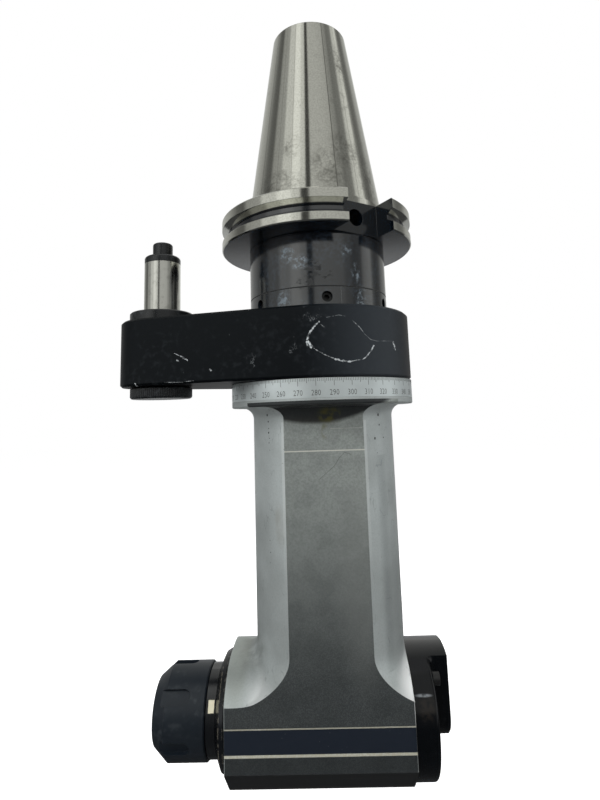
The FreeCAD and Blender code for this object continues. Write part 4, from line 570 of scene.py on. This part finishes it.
@dataclass(frozen=True)
class CastingFinish:
    """Silver paint on the casting, darker machined faces and the channel across the front.

    All places are in mm. A pit is its X, its Z and its radius.
    """

    flat: float = 29.42
    flat_edge: float = 29.6
    flat_top: float = -97.0
    corner_side: float = 28.6
    corner_reach: Span = (34, 34.7)
    corner_levels: Span = (-204, -106)
    corner_fade: Span = (-190, -130)
    head_ends: Span = (-45.9, 33.7)
    head_top: float = -204.0
    belly_top: float = -248.3
    belly_side: float = 8.0
    belly_foot: float = -262.0
    channel_depths: Span = (-29.44, -28.5)
    channel_levels: Span = (-242.05, -230.85)
    channel_floor: float = -28.96
    head_low: float = -242.0
    flat_fade: Span = (-226, -112)
    lip_shade: float = -106.4
    shade_middle: float = -4.0
    shade_bend: float = 0.0085
    rust_level: float = -103.5
    pale_line: Span = (-119.3, -118.8)
    short_line: Span = (-109.5, -109.32)
    short_span: Span = (3, 17.4)
    cove_line: float = 25.6
    cove_levels: Span = (-212, -122)
    cove_depth: float = -20.0
    silver: RGB = tone(184, 191, 190)
    face_top: RGB = tone(156, 162, 158)
    face_low: RGB = tone(64, 68, 69)
    channel: RGB = tone(20, 28, 40)
    dust: RGB = tone(96, 98, 100)
    bevel: RGB = tone(150, 148, 132)
    # painted shade: near black for the head's underside and lowest bevels
    under: RGB = tone(6, 9, 12)
    end: RGB = tone(72, 74, 72)
    pit: RGB = tone(40, 40, 38)
    bright_edge: RGB = tone(226, 230, 228)
    coats: tuple[Stain, ...] = (
        Stain(tone(166, 172, 171), 1.0, grain=Grain(34, 4, (0.4, 0.68))),
        Stain(tone(132, 138, 137), 0.14, grain=Grain(1300, 3, (0.4, 0.66))),
        # painted shade in the crease at the lower left of the column
        Stain(tone(92, 96, 92), 0.5, (Blot((-36, -207), (10, 9)),), Grain(160, 5, (0.3, 0.62))),
        # painted highlights low on both coves
        Stain(tone(250, 252, 252), 1.0,
              (Blot((38, -220), (13, 16)), Blot((-30, -226), (9, 14), 0.5))),
        Stain(tone(120, 124, 112), 0.4, (Blot((-42, -211), (7, 16)),)))
    rub: Stain = Stain(tone(120, 104, 80), 0.3, (Blot((-20.5, -148), (3.2, 16)),), Grain(34, 4, (0.35, 0.6)))
    ground: tuple[Stain, ...] = (
        Stain(tone(150, 156, 154), 0.13, grain=Grain(2600, 2, (0.42, 0.62))),
        Stain(tone(36, 40, 41), 0.12, grain=Grain(1300, 3, (0.45, 0.62))),
        Stain(tone(44, 48, 48), 0.16, grain=Grain(90, 4, (0.4, 0.62))))
    ground_top: Stain = Stain(tone(70, 74, 72), 0.14, grain=Grain(1000, 4, (0.44, 0.6)))
    # a painted pale patch of reflected light on the right of the flat
    light: Stain = Stain(tone(158, 162, 158), 0.18, (Blot((14, -170), (14, 60)),))
    oil: Stain = Stain(tone(96, 92, 30), 0.6, (
        Blot((3, -103.5), (7.5, 4.6)), Blot((0.4, -110.5), (2, 5), 0.8)), Grain(210, 4, (0.4, 0.58)))
    pits: tuple[Triple, ...] = (
        (-25.7, -102.6, 0.34), (-25.3, -105.6, 0.28), (-25.1, -108.7, 0.2), (-25.2, -110.6, 0.32),
        (-24.9, -113.1, 0.16), (-25.1, -115.2, 0.2), (-24.8, -118.4, 0.14), (-25.6, -158, 0.14),
        (-25.4, -163, 0.16), (-25.7, -167.5, 0.12), (25.4, -104, 0.42), (25.7, -108.5, 0.3),
        (23.2, -114.5, 0.4), (27.6, -114.4, 0.24), (24.1, -121, 0.14), (-33.5, -222.3, 0.2),
        (-17.9, -118, 0.2))
    hair: Scratch = Scratch(0.12, 0.5, (
        (11.8, -121), (9, -120), (6.4, -122.5), (4.2, -125.8), (-2.9, -131.6)))

    def paint(self, graph: Graph, specks: Value) -> Any:
        """The silver paint with its marks."""
        paint = graph.stained(self.silver, self.coats)
        scratches = graph.hairs(70, 0.012, (3.0, 1.0, 1.0)) * graph.grain(Grain(120, 3, (0.5, 0.6), 0.35))
        paint = graph.mix(scratches, paint, tone(120, 126, 126))
        cove = graph.x.near(self.cove_line, 0.2, 3.2) * graph.z.between(*self.cove_levels)
        paint = graph.mix(cove * graph.y.under(self.cove_depth) * 0.22, paint, tone(88, 94, 96))
        paint = graph.stained(paint, (self.rub,), graph.front)
        # painted highlight along the edges between the round sides and the flats, fading out towards the head
        edge_glint = abs(graph.y).over(self.corner_side) * graph.z.between(*self.corner_levels)
        edge_glint = edge_glint * graph.distance(graph.x, graph.y).between(*self.corner_reach)
        paint = graph.mix(edge_glint * graph.z.rise(*self.corner_fade) * 0.3, paint, self.bright_edge)
        return graph.mix(specks * 0.85, paint, self.pit)

    def face(self, graph: Graph, grit: Value, fine: Value) -> Any:
        """The machined faces, from the pale top under the lip to the dark head, a painted light gradient, with a
        painted shadow under the lip.
        """
        # painted light: the machined faces get paler towards the top and darker towards the head
        light_fall = graph.z.rise(*self.flat_fade)
        face = graph.stained(graph.mix(light_fall, self.face_low, self.face_top), self.ground)
        face = graph.stained(face, (self.ground_top,), light_fall)
        # painted pale patch of reflected light
        face = graph.stained(face, (self.light,))
        face = graph.mix(graph.specks(700, 0.07) * 0.14, face, tone(160, 160, 154))
        # painted shade on the head's front below the channel
        face = graph.mix(graph.z.under(self.head_low) * 0.45, face, tone(34, 38, 40))
        # painted shadow of the lip: a dark arc across the top of the flat, brownish at its lower edge
        off = graph.x - self.shade_middle
        shade = (graph.z - self.lip_shade - off * off * self.shade_bend).rise(-1.6, 0.8)
        face = graph.mix(shade * 0.92, face, tone(24, 27, 30))
        brown_shadow_edge = shade * (graph.z - self.rust_level).fall(-4.0, 1.0)
        face = graph.mix(brown_shadow_edge * 0.35, face, tone(62, 56, 46))
        face = graph.stained(face, (self.oil,), graph.front)
        hair = graph.stroke(self.hair, fine) * self.hair.share * graph.front
        face = graph.mix(hair, face, tone(56, 58, 56))
        # thin pale lines painted across the flat as highlights on the edge of a shallow step
        line = graph.z.between(*self.pale_line) * (0.65 + grit * 0.35)
        short_highlight = graph.z.between(*self.short_line) * graph.x.between(*self.short_span) * 0.4
        highlight_lines = line.either(short_highlight) * graph.front * abs(graph.y).under(self.flat_edge)
        return graph.mix(highlight_lines, face, tone(214, 214, 204))

    def make(self) -> Material:
        """Builds the material."""
        graph = Graph("casting")
        side = abs(graph.y)
        grit, fine = graph.noise(2600, 2), graph.noise(1300, 3)
        shaded_belly = graph.z.under(self.belly_top) * side.over(self.belly_side) + graph.z.under(self.belly_foot)
        shaded_belly = shaded_belly.math("MINIMUM", 1.0)
        machined = side.over(self.flat) * graph.z.under(self.flat_top)
        left, right = self.head_ends
        ends = graph.x.over(right).either(graph.x.under(left)) * graph.z.under(self.head_top)
        in_channel = graph.y.between(*self.channel_depths) * graph.z.between(*self.channel_levels)
        floor = in_channel * graph.y.over(self.channel_floor)
        specks = graph.specks(300, 0.045)
        for x, z, radius in self.pits:
            spot = graph.distance(graph.x - x, (graph.z - z) * 0.65).under(radius)
            specks = specks.either(spot * graph.front)
        colour = graph.mix(machined, self.paint(graph, specks), self.face(graph, grit, fine))
        colour = graph.mix(in_channel * (fine.rise(0.4, 0.55) * 0.3 + 0.7), colour, self.bevel)
        dusty = graph.mix(graph.specks(500, 0.08) * 0.5, self.channel, self.dust)
        colour = graph.mix(floor, colour, dusty)
        # painted shade: the head's underside and lowest bevels are painted near black
        colour = graph.mix(shaded_belly, colour, self.under)
        colour = graph.mix(ends * (1 - shaded_belly), colour, self.end)
        bare = machined.either(in_channel).either(shaded_belly)
        metal = (1 - bare) * 0.55 + machined * 0.45
        rough = (1 - bare) * (0.36 + graph.noise(34, 4) * 0.08) + bare * 0.3 + grit * 0.08 + floor * 0.05
        normal = graph.bump(grit * (1 - bare * 0.5) - specks * 2, 0.008, 0.4)
        return graph.surface(colour, rough, metal, normal)


@dataclass(frozen=True)
class SatinSteel:
    """Satin steel, as on the graduated ring and inner pieces."""

    name: str
    colour: RGB = tone(204, 212, 212)
    roughness: float = 0.3
    metallic: float = 0.65
    cloud: Grain = Grain(70, 4, (0.4, 0.7), 0.4)
    dim: float = 0.62

    def make(self) -> Material:
        """Builds the material."""
        graph = Graph(self.name)
        lines = graph.noise(24, 4, place=graph.turned(0.5, 120))
        colour = graph.mix(graph.grain(self.cloud), self.colour, scaled(self.colour, self.dim))
        normal = graph.bump(lines, 0.003, 0.25)
        return graph.surface(colour, self.roughness + lines * 0.12, self.metallic, normal)


@dataclass(frozen=True)
class CoverFinish:
    """Glossy black rear cover with a painted brownish highlight and a painted highlight streak on its front."""

    black: RGB = tone(3, 5, 8)
    front: float = -8.0
    brown: Stain = Stain(tone(44, 38, 32), 0.35, (Blot((39.5, -226.5), (5, 6.5)),), Grain(420, 5, (0.36, 0.58)))
    grey: Stain = Stain(tone(50, 54, 56), 0.12, grain=Grain(420, 5, (0.62, 0.78)))
    rub: Stain = Stain(tone(150, 156, 160), 0.56, (Blot((38.4, -222.6), (4.6, 0.7)),), Grain(420, 5, (0.3, 0.5)))
    index: float = 1.42

    def make(self) -> Material:
        """Builds the material."""
        graph = Graph("cover")
        front = graph.y.under(self.front)
        # painted brownish highlight on the front of the rim
        colour = graph.stained(self.black, (self.brown,), front)
        colour = graph.stained(colour, (self.grey,))
        # painted highlight streak on the front of the rim
        colour = graph.stained(colour, (self.rub,), front)
        normal = graph.bump(graph.noise(420, 5), 0.004, 0.4)
        return graph.surface(colour, 0.14 + graph.noise(60, 3) * 0.1, 0.0, normal, IOR=self.index)


@dataclass(frozen=True)
class SpindleFinish:
    """Black spindle whose collar has one bare, polished flat, above its axis on the front, painted bright as a
    highlight; lengths are in mm.
    """

    axis: float = -237.5
    flat_span: Span = (-55, -52.4)
    flat_radii: Span = (18.4, 18.71)
    flat_rise: Span = (6, 12.6)
    black: RGB = tone(7, 10, 14)
    # bare metal, painted bright as the highlight on the one flat
    bare: RGB = tone(222, 216, 190)
    index: float = 1.7

    def make(self) -> Material:
        """Builds the material."""
        graph = Graph("spindle")
        fine = graph.noise(500, 4)
        rise = graph.z - self.axis
        # only the flat that faces the front above the axis is painted bright: bare metal with a painted highlight
        flat = graph.x.between(*self.flat_span) * graph.distance(graph.y, rise).between(*self.flat_radii)
        flat = flat * graph.front * rise.between(*self.flat_rise) * fine.rise(0.25, 0.4)
        normal = graph.bump(fine, 0.003, 0.25)
        colour = graph.mix(flat, self.black, self.bare)
        return graph.surface(colour, 0.2 + fine * 0.1, flat * 0.3, normal, IOR=self.index)


@dataclass(frozen=True)
class CapFinish:
    """Black bearing cap with two thin worn lines round its shoulder, painted pale also as edge highlights, at places
    along X in mm.
    """

    shoulder: float = -49.6
    step: float = -47.6
    black: RGB = tone(7, 10, 14)
    worn: RGB = tone(132, 126, 112)
    index: float = 1.5

    def make(self) -> Material:
        """Builds the material."""
        graph = Graph("bearing_cap")
        fine = graph.noise(420, 5)
        # worn edges painted pale, which also stand in for edge highlights
        ring = graph.x.near(self.shoulder, 0.15, 0.5) * fine.rise(0.42, 0.56)
        ring = ring.either(graph.x.near(self.step, 0.1, 0.35) * fine.rise(0.5, 0.62) * 0.6)
        colour = graph.mix(ring * 0.3, self.black, self.worn)
        normal = graph.bump(fine, 0.004, 0.3)
        return graph.surface(colour, 0.2 + fine * 0.12, 0.0, normal, IOR=self.index)


@dataclass(frozen=True)
class PlainFinish:
    """A plain finish with a little grain, for seals, bronze and marks."""

    name: str
    colour: RGB
    roughness: float
    metallic: float = 0.0
    dim: float = 0.7

    def make(self) -> Material:
        """Builds the material."""
        graph = Graph(self.name)
        grain = graph.noise(900, 3)
        colour = graph.mix(grain.rise(0.35, 0.7) * 0.5, self.colour, scaled(self.colour, self.dim))
        return graph.surface(colour, self.roughness + grain * 0.1, self.metallic, graph.bump(grain, 0.006))


def clear_selection() -> None:
    """Deselects every object."""
    bpy.ops.object.select_all(action="DESELECT")


def copy_of(piece: Object, matrix: Matrix) -> Object:
    """A copy with a mesh of its own, moved in its mesh."""
    mesh = piece.data.copy()
    mesh.transform(matrix)
    made = bpy.data.objects.new(piece.name, mesh)
    bpy.context.scene.collection.objects.link(made)
    return made


def mark(radius: float, top: float, width: float, length: float) -> Object:
    """An upright mark at the front of a round piece, a little proud of it, with all its lengths in mm."""
    clear_selection()
    bpy.ops.mesh.primitive_cube_add(size=1.0, location=scaled((0.0, -radius, top - length / 2), MM))
    made = bpy.context.object
    made.scale = scaled((width, 2 * PROUD, length), MM)
    bpy.ops.object.transform_apply(location=True, rotation=True, scale=True)
    return made


def joined(name: str, pieces: Sequence[Object], material: Material) -> Object:
    """Joins pieces into one object with a name and a material."""
    clear_selection()
    for piece in pieces:
        piece.select_set(True)
    bpy.context.view_layer.objects.active = pieces[0]
    bpy.ops.object.join()
    made = bpy.context.view_layer.objects.active
    made.name = made.data.name = name
    coat(made, material)
    return made


@dataclass
class EngravedScale:
    """Degree marks and numerals on the graduated ring, in mm and degrees, with the marks' lengths by their step."""

    radius: float = 45.0
    top: float = -87.65
    stroke: float = 0.17
    lengths: dict[int, float] = field(default_factory=lambda: {1: 1.3, 5: 2.1, 10: 3.3})
    zero_turn: float = 283.5
    numeral_foot: float = -95.0
    numeral_height: float = 2.45
    height_share: float = 0.7
    width_share: float = 0.78
    offset: float = -0.03
    spacing: float = 1.05

    def place_at(self, degrees: float) -> Matrix:
        """The turn that brings a piece from the front of the ring to a degree mark."""
        return Matrix.Rotation(math.radians(degrees - self.zero_turn), 4, "Z")

    def ticks(self) -> list[Object]:
        """All the marks round the ring."""
        samples = {step: mark(self.radius, self.top, self.stroke, length) for step, length in self.lengths.items()}
        marks = []
        for degree in range(360):
            step = max(step for step in samples if degree % step == 0)
            marks.append(copy_of(samples[step], self.place_at(degree)))
        for sample in samples.values():
            bpy.data.objects.remove(sample)
        return marks

    def numeral(self, degrees: int) -> Object:
        """One number, bent to the ring."""
        clear_selection()
        bpy.ops.object.text_add()
        text = bpy.context.object.data
        text.body = str(degrees)
        text.align_x = "CENTER"
        text.size = self.numeral_height * MM / self.height_share
        text.resolution_u = 2
        text.offset = self.offset * MM
        text.space_character = self.spacing
        bpy.ops.object.convert(target="MESH")
        made = bpy.context.object
        radius = (self.radius + PROUD) * MM
        for vertex in made.data.vertices:
            angle = vertex.co.x * self.width_share / radius
            foot = self.numeral_foot * MM + vertex.co.y
            vertex.co = (radius * math.sin(angle), -radius * math.cos(angle), foot)
        made.data.transform(self.place_at(degrees))
        return made

    def build(self) -> Object:
        """Builds the marks and numerals as one piece on the housing."""
        pieces = self.ticks() + [self.numeral(degrees) for degrees in range(0, 360, 10)]
        made = joined("scale_marks", pieces, PlainFinish("mark_ink", tone(52, 54, 52), 0.5).make())
        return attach(made, "housing")


@dataclass
class TimingMarks:
    """Two scribed lines on the timing ring, with lengths in mm and turns in degrees."""

    radius: float = 35.0
    top: float = -45.2
    length: float = 9.6
    stroke: float = 0.2
    turns: tuple[float, ...] = (17.2, -22.2)

    def build(self) -> Object:
        """Builds both lines as one piece on the timing ring."""
        lines = []
        for turn in self.turns:
            line = mark(self.radius, self.top, self.stroke, self.length)
            line.data.transform(Matrix.Rotation(math.radians(turn), 4, "Z"))
            lines.append(line)
        made = joined("timing_marks", lines, PlainFinish("scribe", tone(90, 92, 92), 0.4).make())
        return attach(made, "timing")


@dataclass
class Shank:
    """Taper shank with the timing ring."""

    def build(self) -> None:
        """Dresses the shank, the timing ring and small screws."""
        dress(ShankFinish().make(), "taper_shank", "timing_ring")
        dress(BlackOxide("grub_black", tone(16, 17, 18), roughness=0.3).make(), "timing_screws", "scale_ring_screws",
              "arm_clamp_screws", "clamp_tee_nuts", "coolant_plug", "drive_gear_screw")
        TimingMarks().build()


@dataclass
class StopArm:
    """Stop arm with its pin; the spring's foot and the plunger's way are in metres."""

    spring_foot: float = -0.0806
    press: float = 0.005
    scratches: tuple[Scratch, ...] = (
        Scratch(0.4, 0.8, ((-0.5, -63.5), (-2.2, -64.8), (-4.2, -67.4), (-5.4, -69.3), (-5.9, -71.4))),
        Scratch(0.85, 1, ((-5.6, -72), (-5, -73.4), (-4.1, -74))),
        Scratch(0.18, 0.5, ((-3.9, -74.2), (-2, -75.7), (2.2, -78.2), (5.8, -79.8))),
        Scratch(0.4, 0.85, ((5.8, -79.8), (8.8, -80.6), (12.3, -81))),
        Scratch(0.15, 0.6, ((12.3, -81), (14.5, -80.5), (17.9, -80))),
        Scratch(0.26, 0.8, ((17.9, -80), (19.6, -78.9), (22.1, -76), (23.4, -73.8))),
        Scratch(0.14, 0.5, ((14.2, -62.9), (17.4, -66), (19.3, -68.7))),
        Scratch(0.1, 0.3, ((19.3, -68.7), (22, -71.1), (25, -71.7), (32.2, -71.1))),
        Scratch(0.4, 1, ((33.1, -71.3), (33.8, -73.2), (34, -74.7))),
        Scratch(0.1, 0.25, ((2.8, -61.6), (8.3, -60.6), (11, -61.1))),
        Scratch(0.22, 0.7, ((0.4, -64.7), (1.6, -65.8))),
        Scratch(0.14, 0.8, ((-67.2, -73.2), (-63.8, -74.9))),
        Scratch(0.32, 0.9, ((-63.8, -74.9), (-60.9, -76.7))),
        Scratch(0.3, 0.6, ((-65.9, -76.6), (-65.2, -77))),
        Scratch(0.36, 0.7, ((-50, -81.6), (-49.3, -82.1))),
        Scratch(0.3, 0.8, ((-86.9, -86.2), (-86.2, -87.2))),
        Scratch(0.12, 0.6, ((-72, -86.3), (-63.9, -86.6), (-58, -86.2))))
    nests: tuple[Blot, ...] = (
        Blot((-4, -59.5), (6.5, 4.6)), Blot((-11.9, -73.5), (3, 5.5)), Blot((-30.8, -78.6), (3.2, 4.2)),
        Blot((-40.9, -67.3), (1.6, 1.6)), Blot((-63.4, -82.2), (1.8, 1)))

    def spring(self) -> None:
        """The plunger's spring, copied into a piece of its own on the arm, with the imported one hidden."""
        dress(SatinSteel("spring_steel", tone(190, 190, 186), 0.26, 1.0).make(), "plunger_spring")
        coil = copy_of(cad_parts["plunger_spring"], Matrix())
        coil.name = coil.data.name = "pressed_spring"
        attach(coil, "arm")
        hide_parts("plunger_spring")
        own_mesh(coil)

    def build(self) -> None:
        """Dresses the arm and the pin."""
        # the arm's front gets a painted highlight that grows towards its right end
        arm = BlackOxide("arm_black", tone(2, 6, 10), tone(36, 40, 43), wear=0.35, index=1.26,
                         scratches=self.scratches, nests=self.nests, sheen=(-14.0, 34.0, 0.75))
        dress(arm.make(), "stop_arm")
        self.spring()
        dress(BlackOxide("pin_black", tone(7, 11, 15), roughness=0.2, wear=0.55, index=1.6).make(),
              "pin_collar", "pin_sleeve_cap", "thumb_cap", "pin_plunger")
        dress(GroundSteel("sleeve_steel", roughness=0.12).make(), "pin_sleeve")
        dress(PlainFinish("seal_rubber", tone(26, 26, 26), 0.6).make(), "arm_seal", "front_seal")


@dataclass
class Housing:
    """Cast housing with its graduated ring, cap and cover."""

    inner: tuple[str, ...] = (
        *(f"{seat}_bearing_{part}" for seat in ("upper", "lower", "front", "rear")
          for part in ("outer", "balls", "inner")),
        "bearing_retainer", "lower_circlips", "input_shaft", "input_key", "shank_lock_nut", "drive_gear",
        "drive_gear_key", "output_gear", "output_gear_key", "spindle_lock_nut", "spindle_circlips")

    def build(self) -> None:
        """Dresses the housing and what it holds."""
        dress(CastingFinish().make(), "housing")
        dress(SatinSteel("ring_satin").make(), "scale_ring")
        dress(SatinSteel("inner_steel", tone(190, 190, 186), 0.26, 1.0).make(), *self.inner)
        dress(CapFinish().make(), "front_bearing_cap")
        dress(CoverFinish().make(), "rear_cover")
        dress(BlackOxide("screw_black", tone(22, 22, 22), roughness=0.3, wear=0.9).make(), "rear_cover_screws")
        dress(PlainFinish("bronze", tone(176, 130, 70), 0.3, 1.0).make(), "coolant_bush")
        EngravedScale().build()


@dataclass
class Output:
    """Cross spindle, collet and collet nut."""

    def build(self) -> None:
        """Dresses the spindle, the collet and the nut."""
        dress(SpindleFinish().make(), "output_spindle")
        dress(BlackOxide("nut_black", tone(20, 27, 34), roughness=0.3, wear=0.4, index=1.45).make(), "collet_nut")
        dress(GroundSteel("collet_steel").make(), "collet")


class Lamp(Enum):
    """The studio's soft lamps: place and size in metres, and power."""

    KEY = ((-0.35, -0.8, 0.45), 0.6, 7.5)
    RIGHT = ((0.9, -0.3, 0.15), 0.5, 1.6)
    BACK = ((0.2, 0.9, 0.5), 0.7, 6.0)


@dataclass(frozen=True)
class Wall:
    """A curved card round the part: its lower and upper tilt and its brightness at turns from the front."""

    name: str
    low: float
    high: float
    tint: RGB
    levels: tuple[Span, ...]


WALLS = (
    Wall("upper", 8, 72, (0.99, 1, 0.965), (
        (-180, 0.9), (-166, 0.6), (-124, 0.4), (-104, 0.15), (-92, 0.12), (-86, 0.36), (-66, 0.4), (-63, 0.72),
        (-46, 0.7), (-42, 1.02), (-28, 0.98), (-26, 0.76), (-17, 0.72), (-15.5, 0.06), (-7.5, 0.06), (-6, 0.55),
        (20, 0.54), (42, 0.48), (46, 0.34), (56, 0.3), (60, 0.2), (76, 0.24), (80, 0.62), (98, 0.85), (101, 0.34),
        (110, 0.16), (122, 0.2), (132, 0.42), (150, 0.48), (164, 0.8), (180, 0.9))),
    Wall("lower", -30, 8, (0.97, 0.99, 1), (
        (-180, 0.6), (-140, 0.4), (-112, 0.25), (-92, 0.2), (-80, 0.6), (-46, 0.85), (-34, 0.5), (-24, 0.12),
        (22, 0.1), (40, 0.4), (60, 0.5), (84, 0.75), (98, 0.8), (110, 0.3), (150, 0.4), (180, 0.6))),
    Wall("ceiling", 72, 90, WHITE, (
        (-180, 0.6), (-40, 0.6), (-25, 1.2), (25, 1.2), (40, 0.6), (180, 0.6))),
    Wall("ground", -90, -30, (0.95, 0.98, 1), ((-180, 0.06), (180, 0.06))))


@dataclass
class Studio:
    """Floor, lamps, cards, surroundings and camera.

    Lengths are in metres and angles in radians, but the eye and the sensor are in mm and the focal length, the
    centre of the view and the frame in pixels.
    """

    middle: Triple = (0.0, 0.0, -0.12)
    world_light: float = 0.42
    floor_level: float = -0.42
    floor_side: float = 12.0
    floor_tone: float = 0.9
    floor_glow: float = 0.62
    card_radius: float = 1.4
    card_grid: tuple[int, int] = (72, 6)
    card_gap: float = 0.01
    eye: Triple = (-2.9502, -269.1794, -103.5258)
    yaw: float = -0.0198
    pitch: float = 0.153
    roll: float = -0.0315
    focal: float = 526.43
    centre: Span = (303.35, 334.86)
    frame_size: tuple[int, int] = (600, 800)
    sensor: float = 36.0

    def surroundings(self) -> None:
        """White surroundings, with less light from them on dull surfaces."""
        graph = Graph("studio", bpy.data.worlds.new("studio"))
        light, show = (graph.node("ShaderNodeBackground", inputs={"Color": WHITE, "Strength": strength})
                       for strength in (self.world_light, 1.0))
        inputs = {0: graph.seen(), 1: light.outputs[0], 2: show.outputs[0]}
        bpy.context.scene.world = graph.close(graph.node("ShaderNodeMixShader", inputs=inputs), "World")

    def floor(self) -> None:
        """A plain pale floor, well below the part."""
        clear_selection()
        bpy.ops.mesh.primitive_plane_add(size=self.floor_side, location=(0, 0, self.floor_level))
        piece = bpy.context.object
        piece.name = "floor"
        graph = Graph("floor")
        dull = graph.node("ShaderNodeBsdfDiffuse", inputs={"Color": scaled(WHITE, self.floor_tone)})
        lit = graph.node("ShaderNodeEmission", inputs={"Color": WHITE, "Strength": self.floor_glow})
        both = graph.node("ShaderNodeAddShader", inputs={0: dull.outputs[0], 1: lit.outputs[0]})
        inputs = {0: graph.seen(), 1: dull.outputs[0], 2: both.outputs[0]}
        piece.data.materials.append(graph.close(graph.node("ShaderNodeMixShader", inputs=inputs)))

    def card(self, wall: Wall) -> None:
        """A curved card round the part that only reflections show."""
        clear_selection()
        columns, rows = self.card_grid
        bpy.ops.mesh.primitive_grid_add(x_subdivisions=columns, y_subdivisions=rows, size=2.0)
        card = bpy.context.object
        card.name = f"card_{wall.name}"
        for vertex in card.data.vertices:
            turn = math.radians(180 * vertex.co.x)
            tilt = math.radians(wall.low + (wall.high - wall.low) * (vertex.co.y + 1) / 2)
            way = Vector((math.sin(turn) * math.cos(tilt), -math.cos(turn) * math.cos(tilt), math.sin(tilt)))
            vertex.co = Vector(self.middle) + way * self.card_radius
            vertex.co.z = max(vertex.co.z, self.floor_level + self.card_gap)
        graph = Graph(card.name)
        stops = [((turn + 180) / 360, scaled(wall.tint, level)) for turn, level in wall.levels]
        ramp = graph.node("ShaderNodeValToRGB", {"stops": stops}, {0: (graph.angle + 180) / 360})
        lit = graph.node("ShaderNodeEmission", inputs={"Color": ramp.outputs[0], "Strength": 1.0})
        card.data.materials.append(graph.close(lit))
        card.visible_camera = card.visible_diffuse = card.visible_shadow = False
        card.visible_transmission = False

    def lamps(self) -> None:
        """Soft area lamps, aimed at the part and left out of reflections."""
        for lamp in Lamp:
            place, size, power = lamp.value
            light = bpy.data.lights.new(lamp.name.lower(), "AREA")
            light.size = size
            light.energy = power
            holder = bpy.data.objects.new(lamp.name.lower(), light)
            bpy.context.scene.collection.objects.link(holder)
            holder.location = place
            holder.rotation_euler = (Vector(self.middle) - Vector(place)).to_track_quat("-Z", "Y").to_euler()
            holder.visible_camera = holder.visible_glossy = False

    def camera(self) -> None:
        """The photograph's camera."""
        look = Vector((math.sin(self.yaw) * math.cos(self.pitch), math.cos(self.yaw) * math.cos(self.pitch),
                       math.sin(self.pitch)))
        level = Vector((math.cos(self.yaw), -math.sin(self.yaw), 0.0))
        top = level.cross(look)
        right = math.cos(self.roll) * level + math.sin(self.roll) * top
        above = math.cos(self.roll) * top - math.sin(self.roll) * level
        data = bpy.data.cameras.new("photo_camera")
        wide, tall = self.frame_size
        data.sensor_width = self.sensor
        data.lens = self.focal / tall * data.sensor_width
        data.shift_x = (wide / 2 - self.centre[0]) / tall
        data.shift_y = (self.centre[1] - tall / 2) / tall
        data.clip_start = 0.01
        holder = bpy.data.objects.new("photo_camera", data)
        bpy.context.scene.collection.objects.link(holder)
        turn = Matrix((right, above, -look)).transposed().to_4x4()
        holder.matrix_world = Matrix.Translation(Vector(self.eye) * MM) @ turn
        bpy.context.scene.camera = holder

    def build(self) -> None:
        """Builds the studio."""
        self.surroundings()
        self.floor()
        for wall in WALLS:
            self.card(wall)
        self.lamps()
        self.camera()


def main() -> None:
    """Builds every sub-assembly and the studio."""
    logging.basicConfig(level=logging.INFO, format="%(name)s: %(message)s")
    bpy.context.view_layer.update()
    bpy.context.scene.view_settings.view_transform = "Standard"
    for part in (Shank(), StopArm(), Housing(), Output(), Studio()):
        part.build()
        LOG.info("%s built", type(part).__name__)


if __name__ == "__main__":
    main()
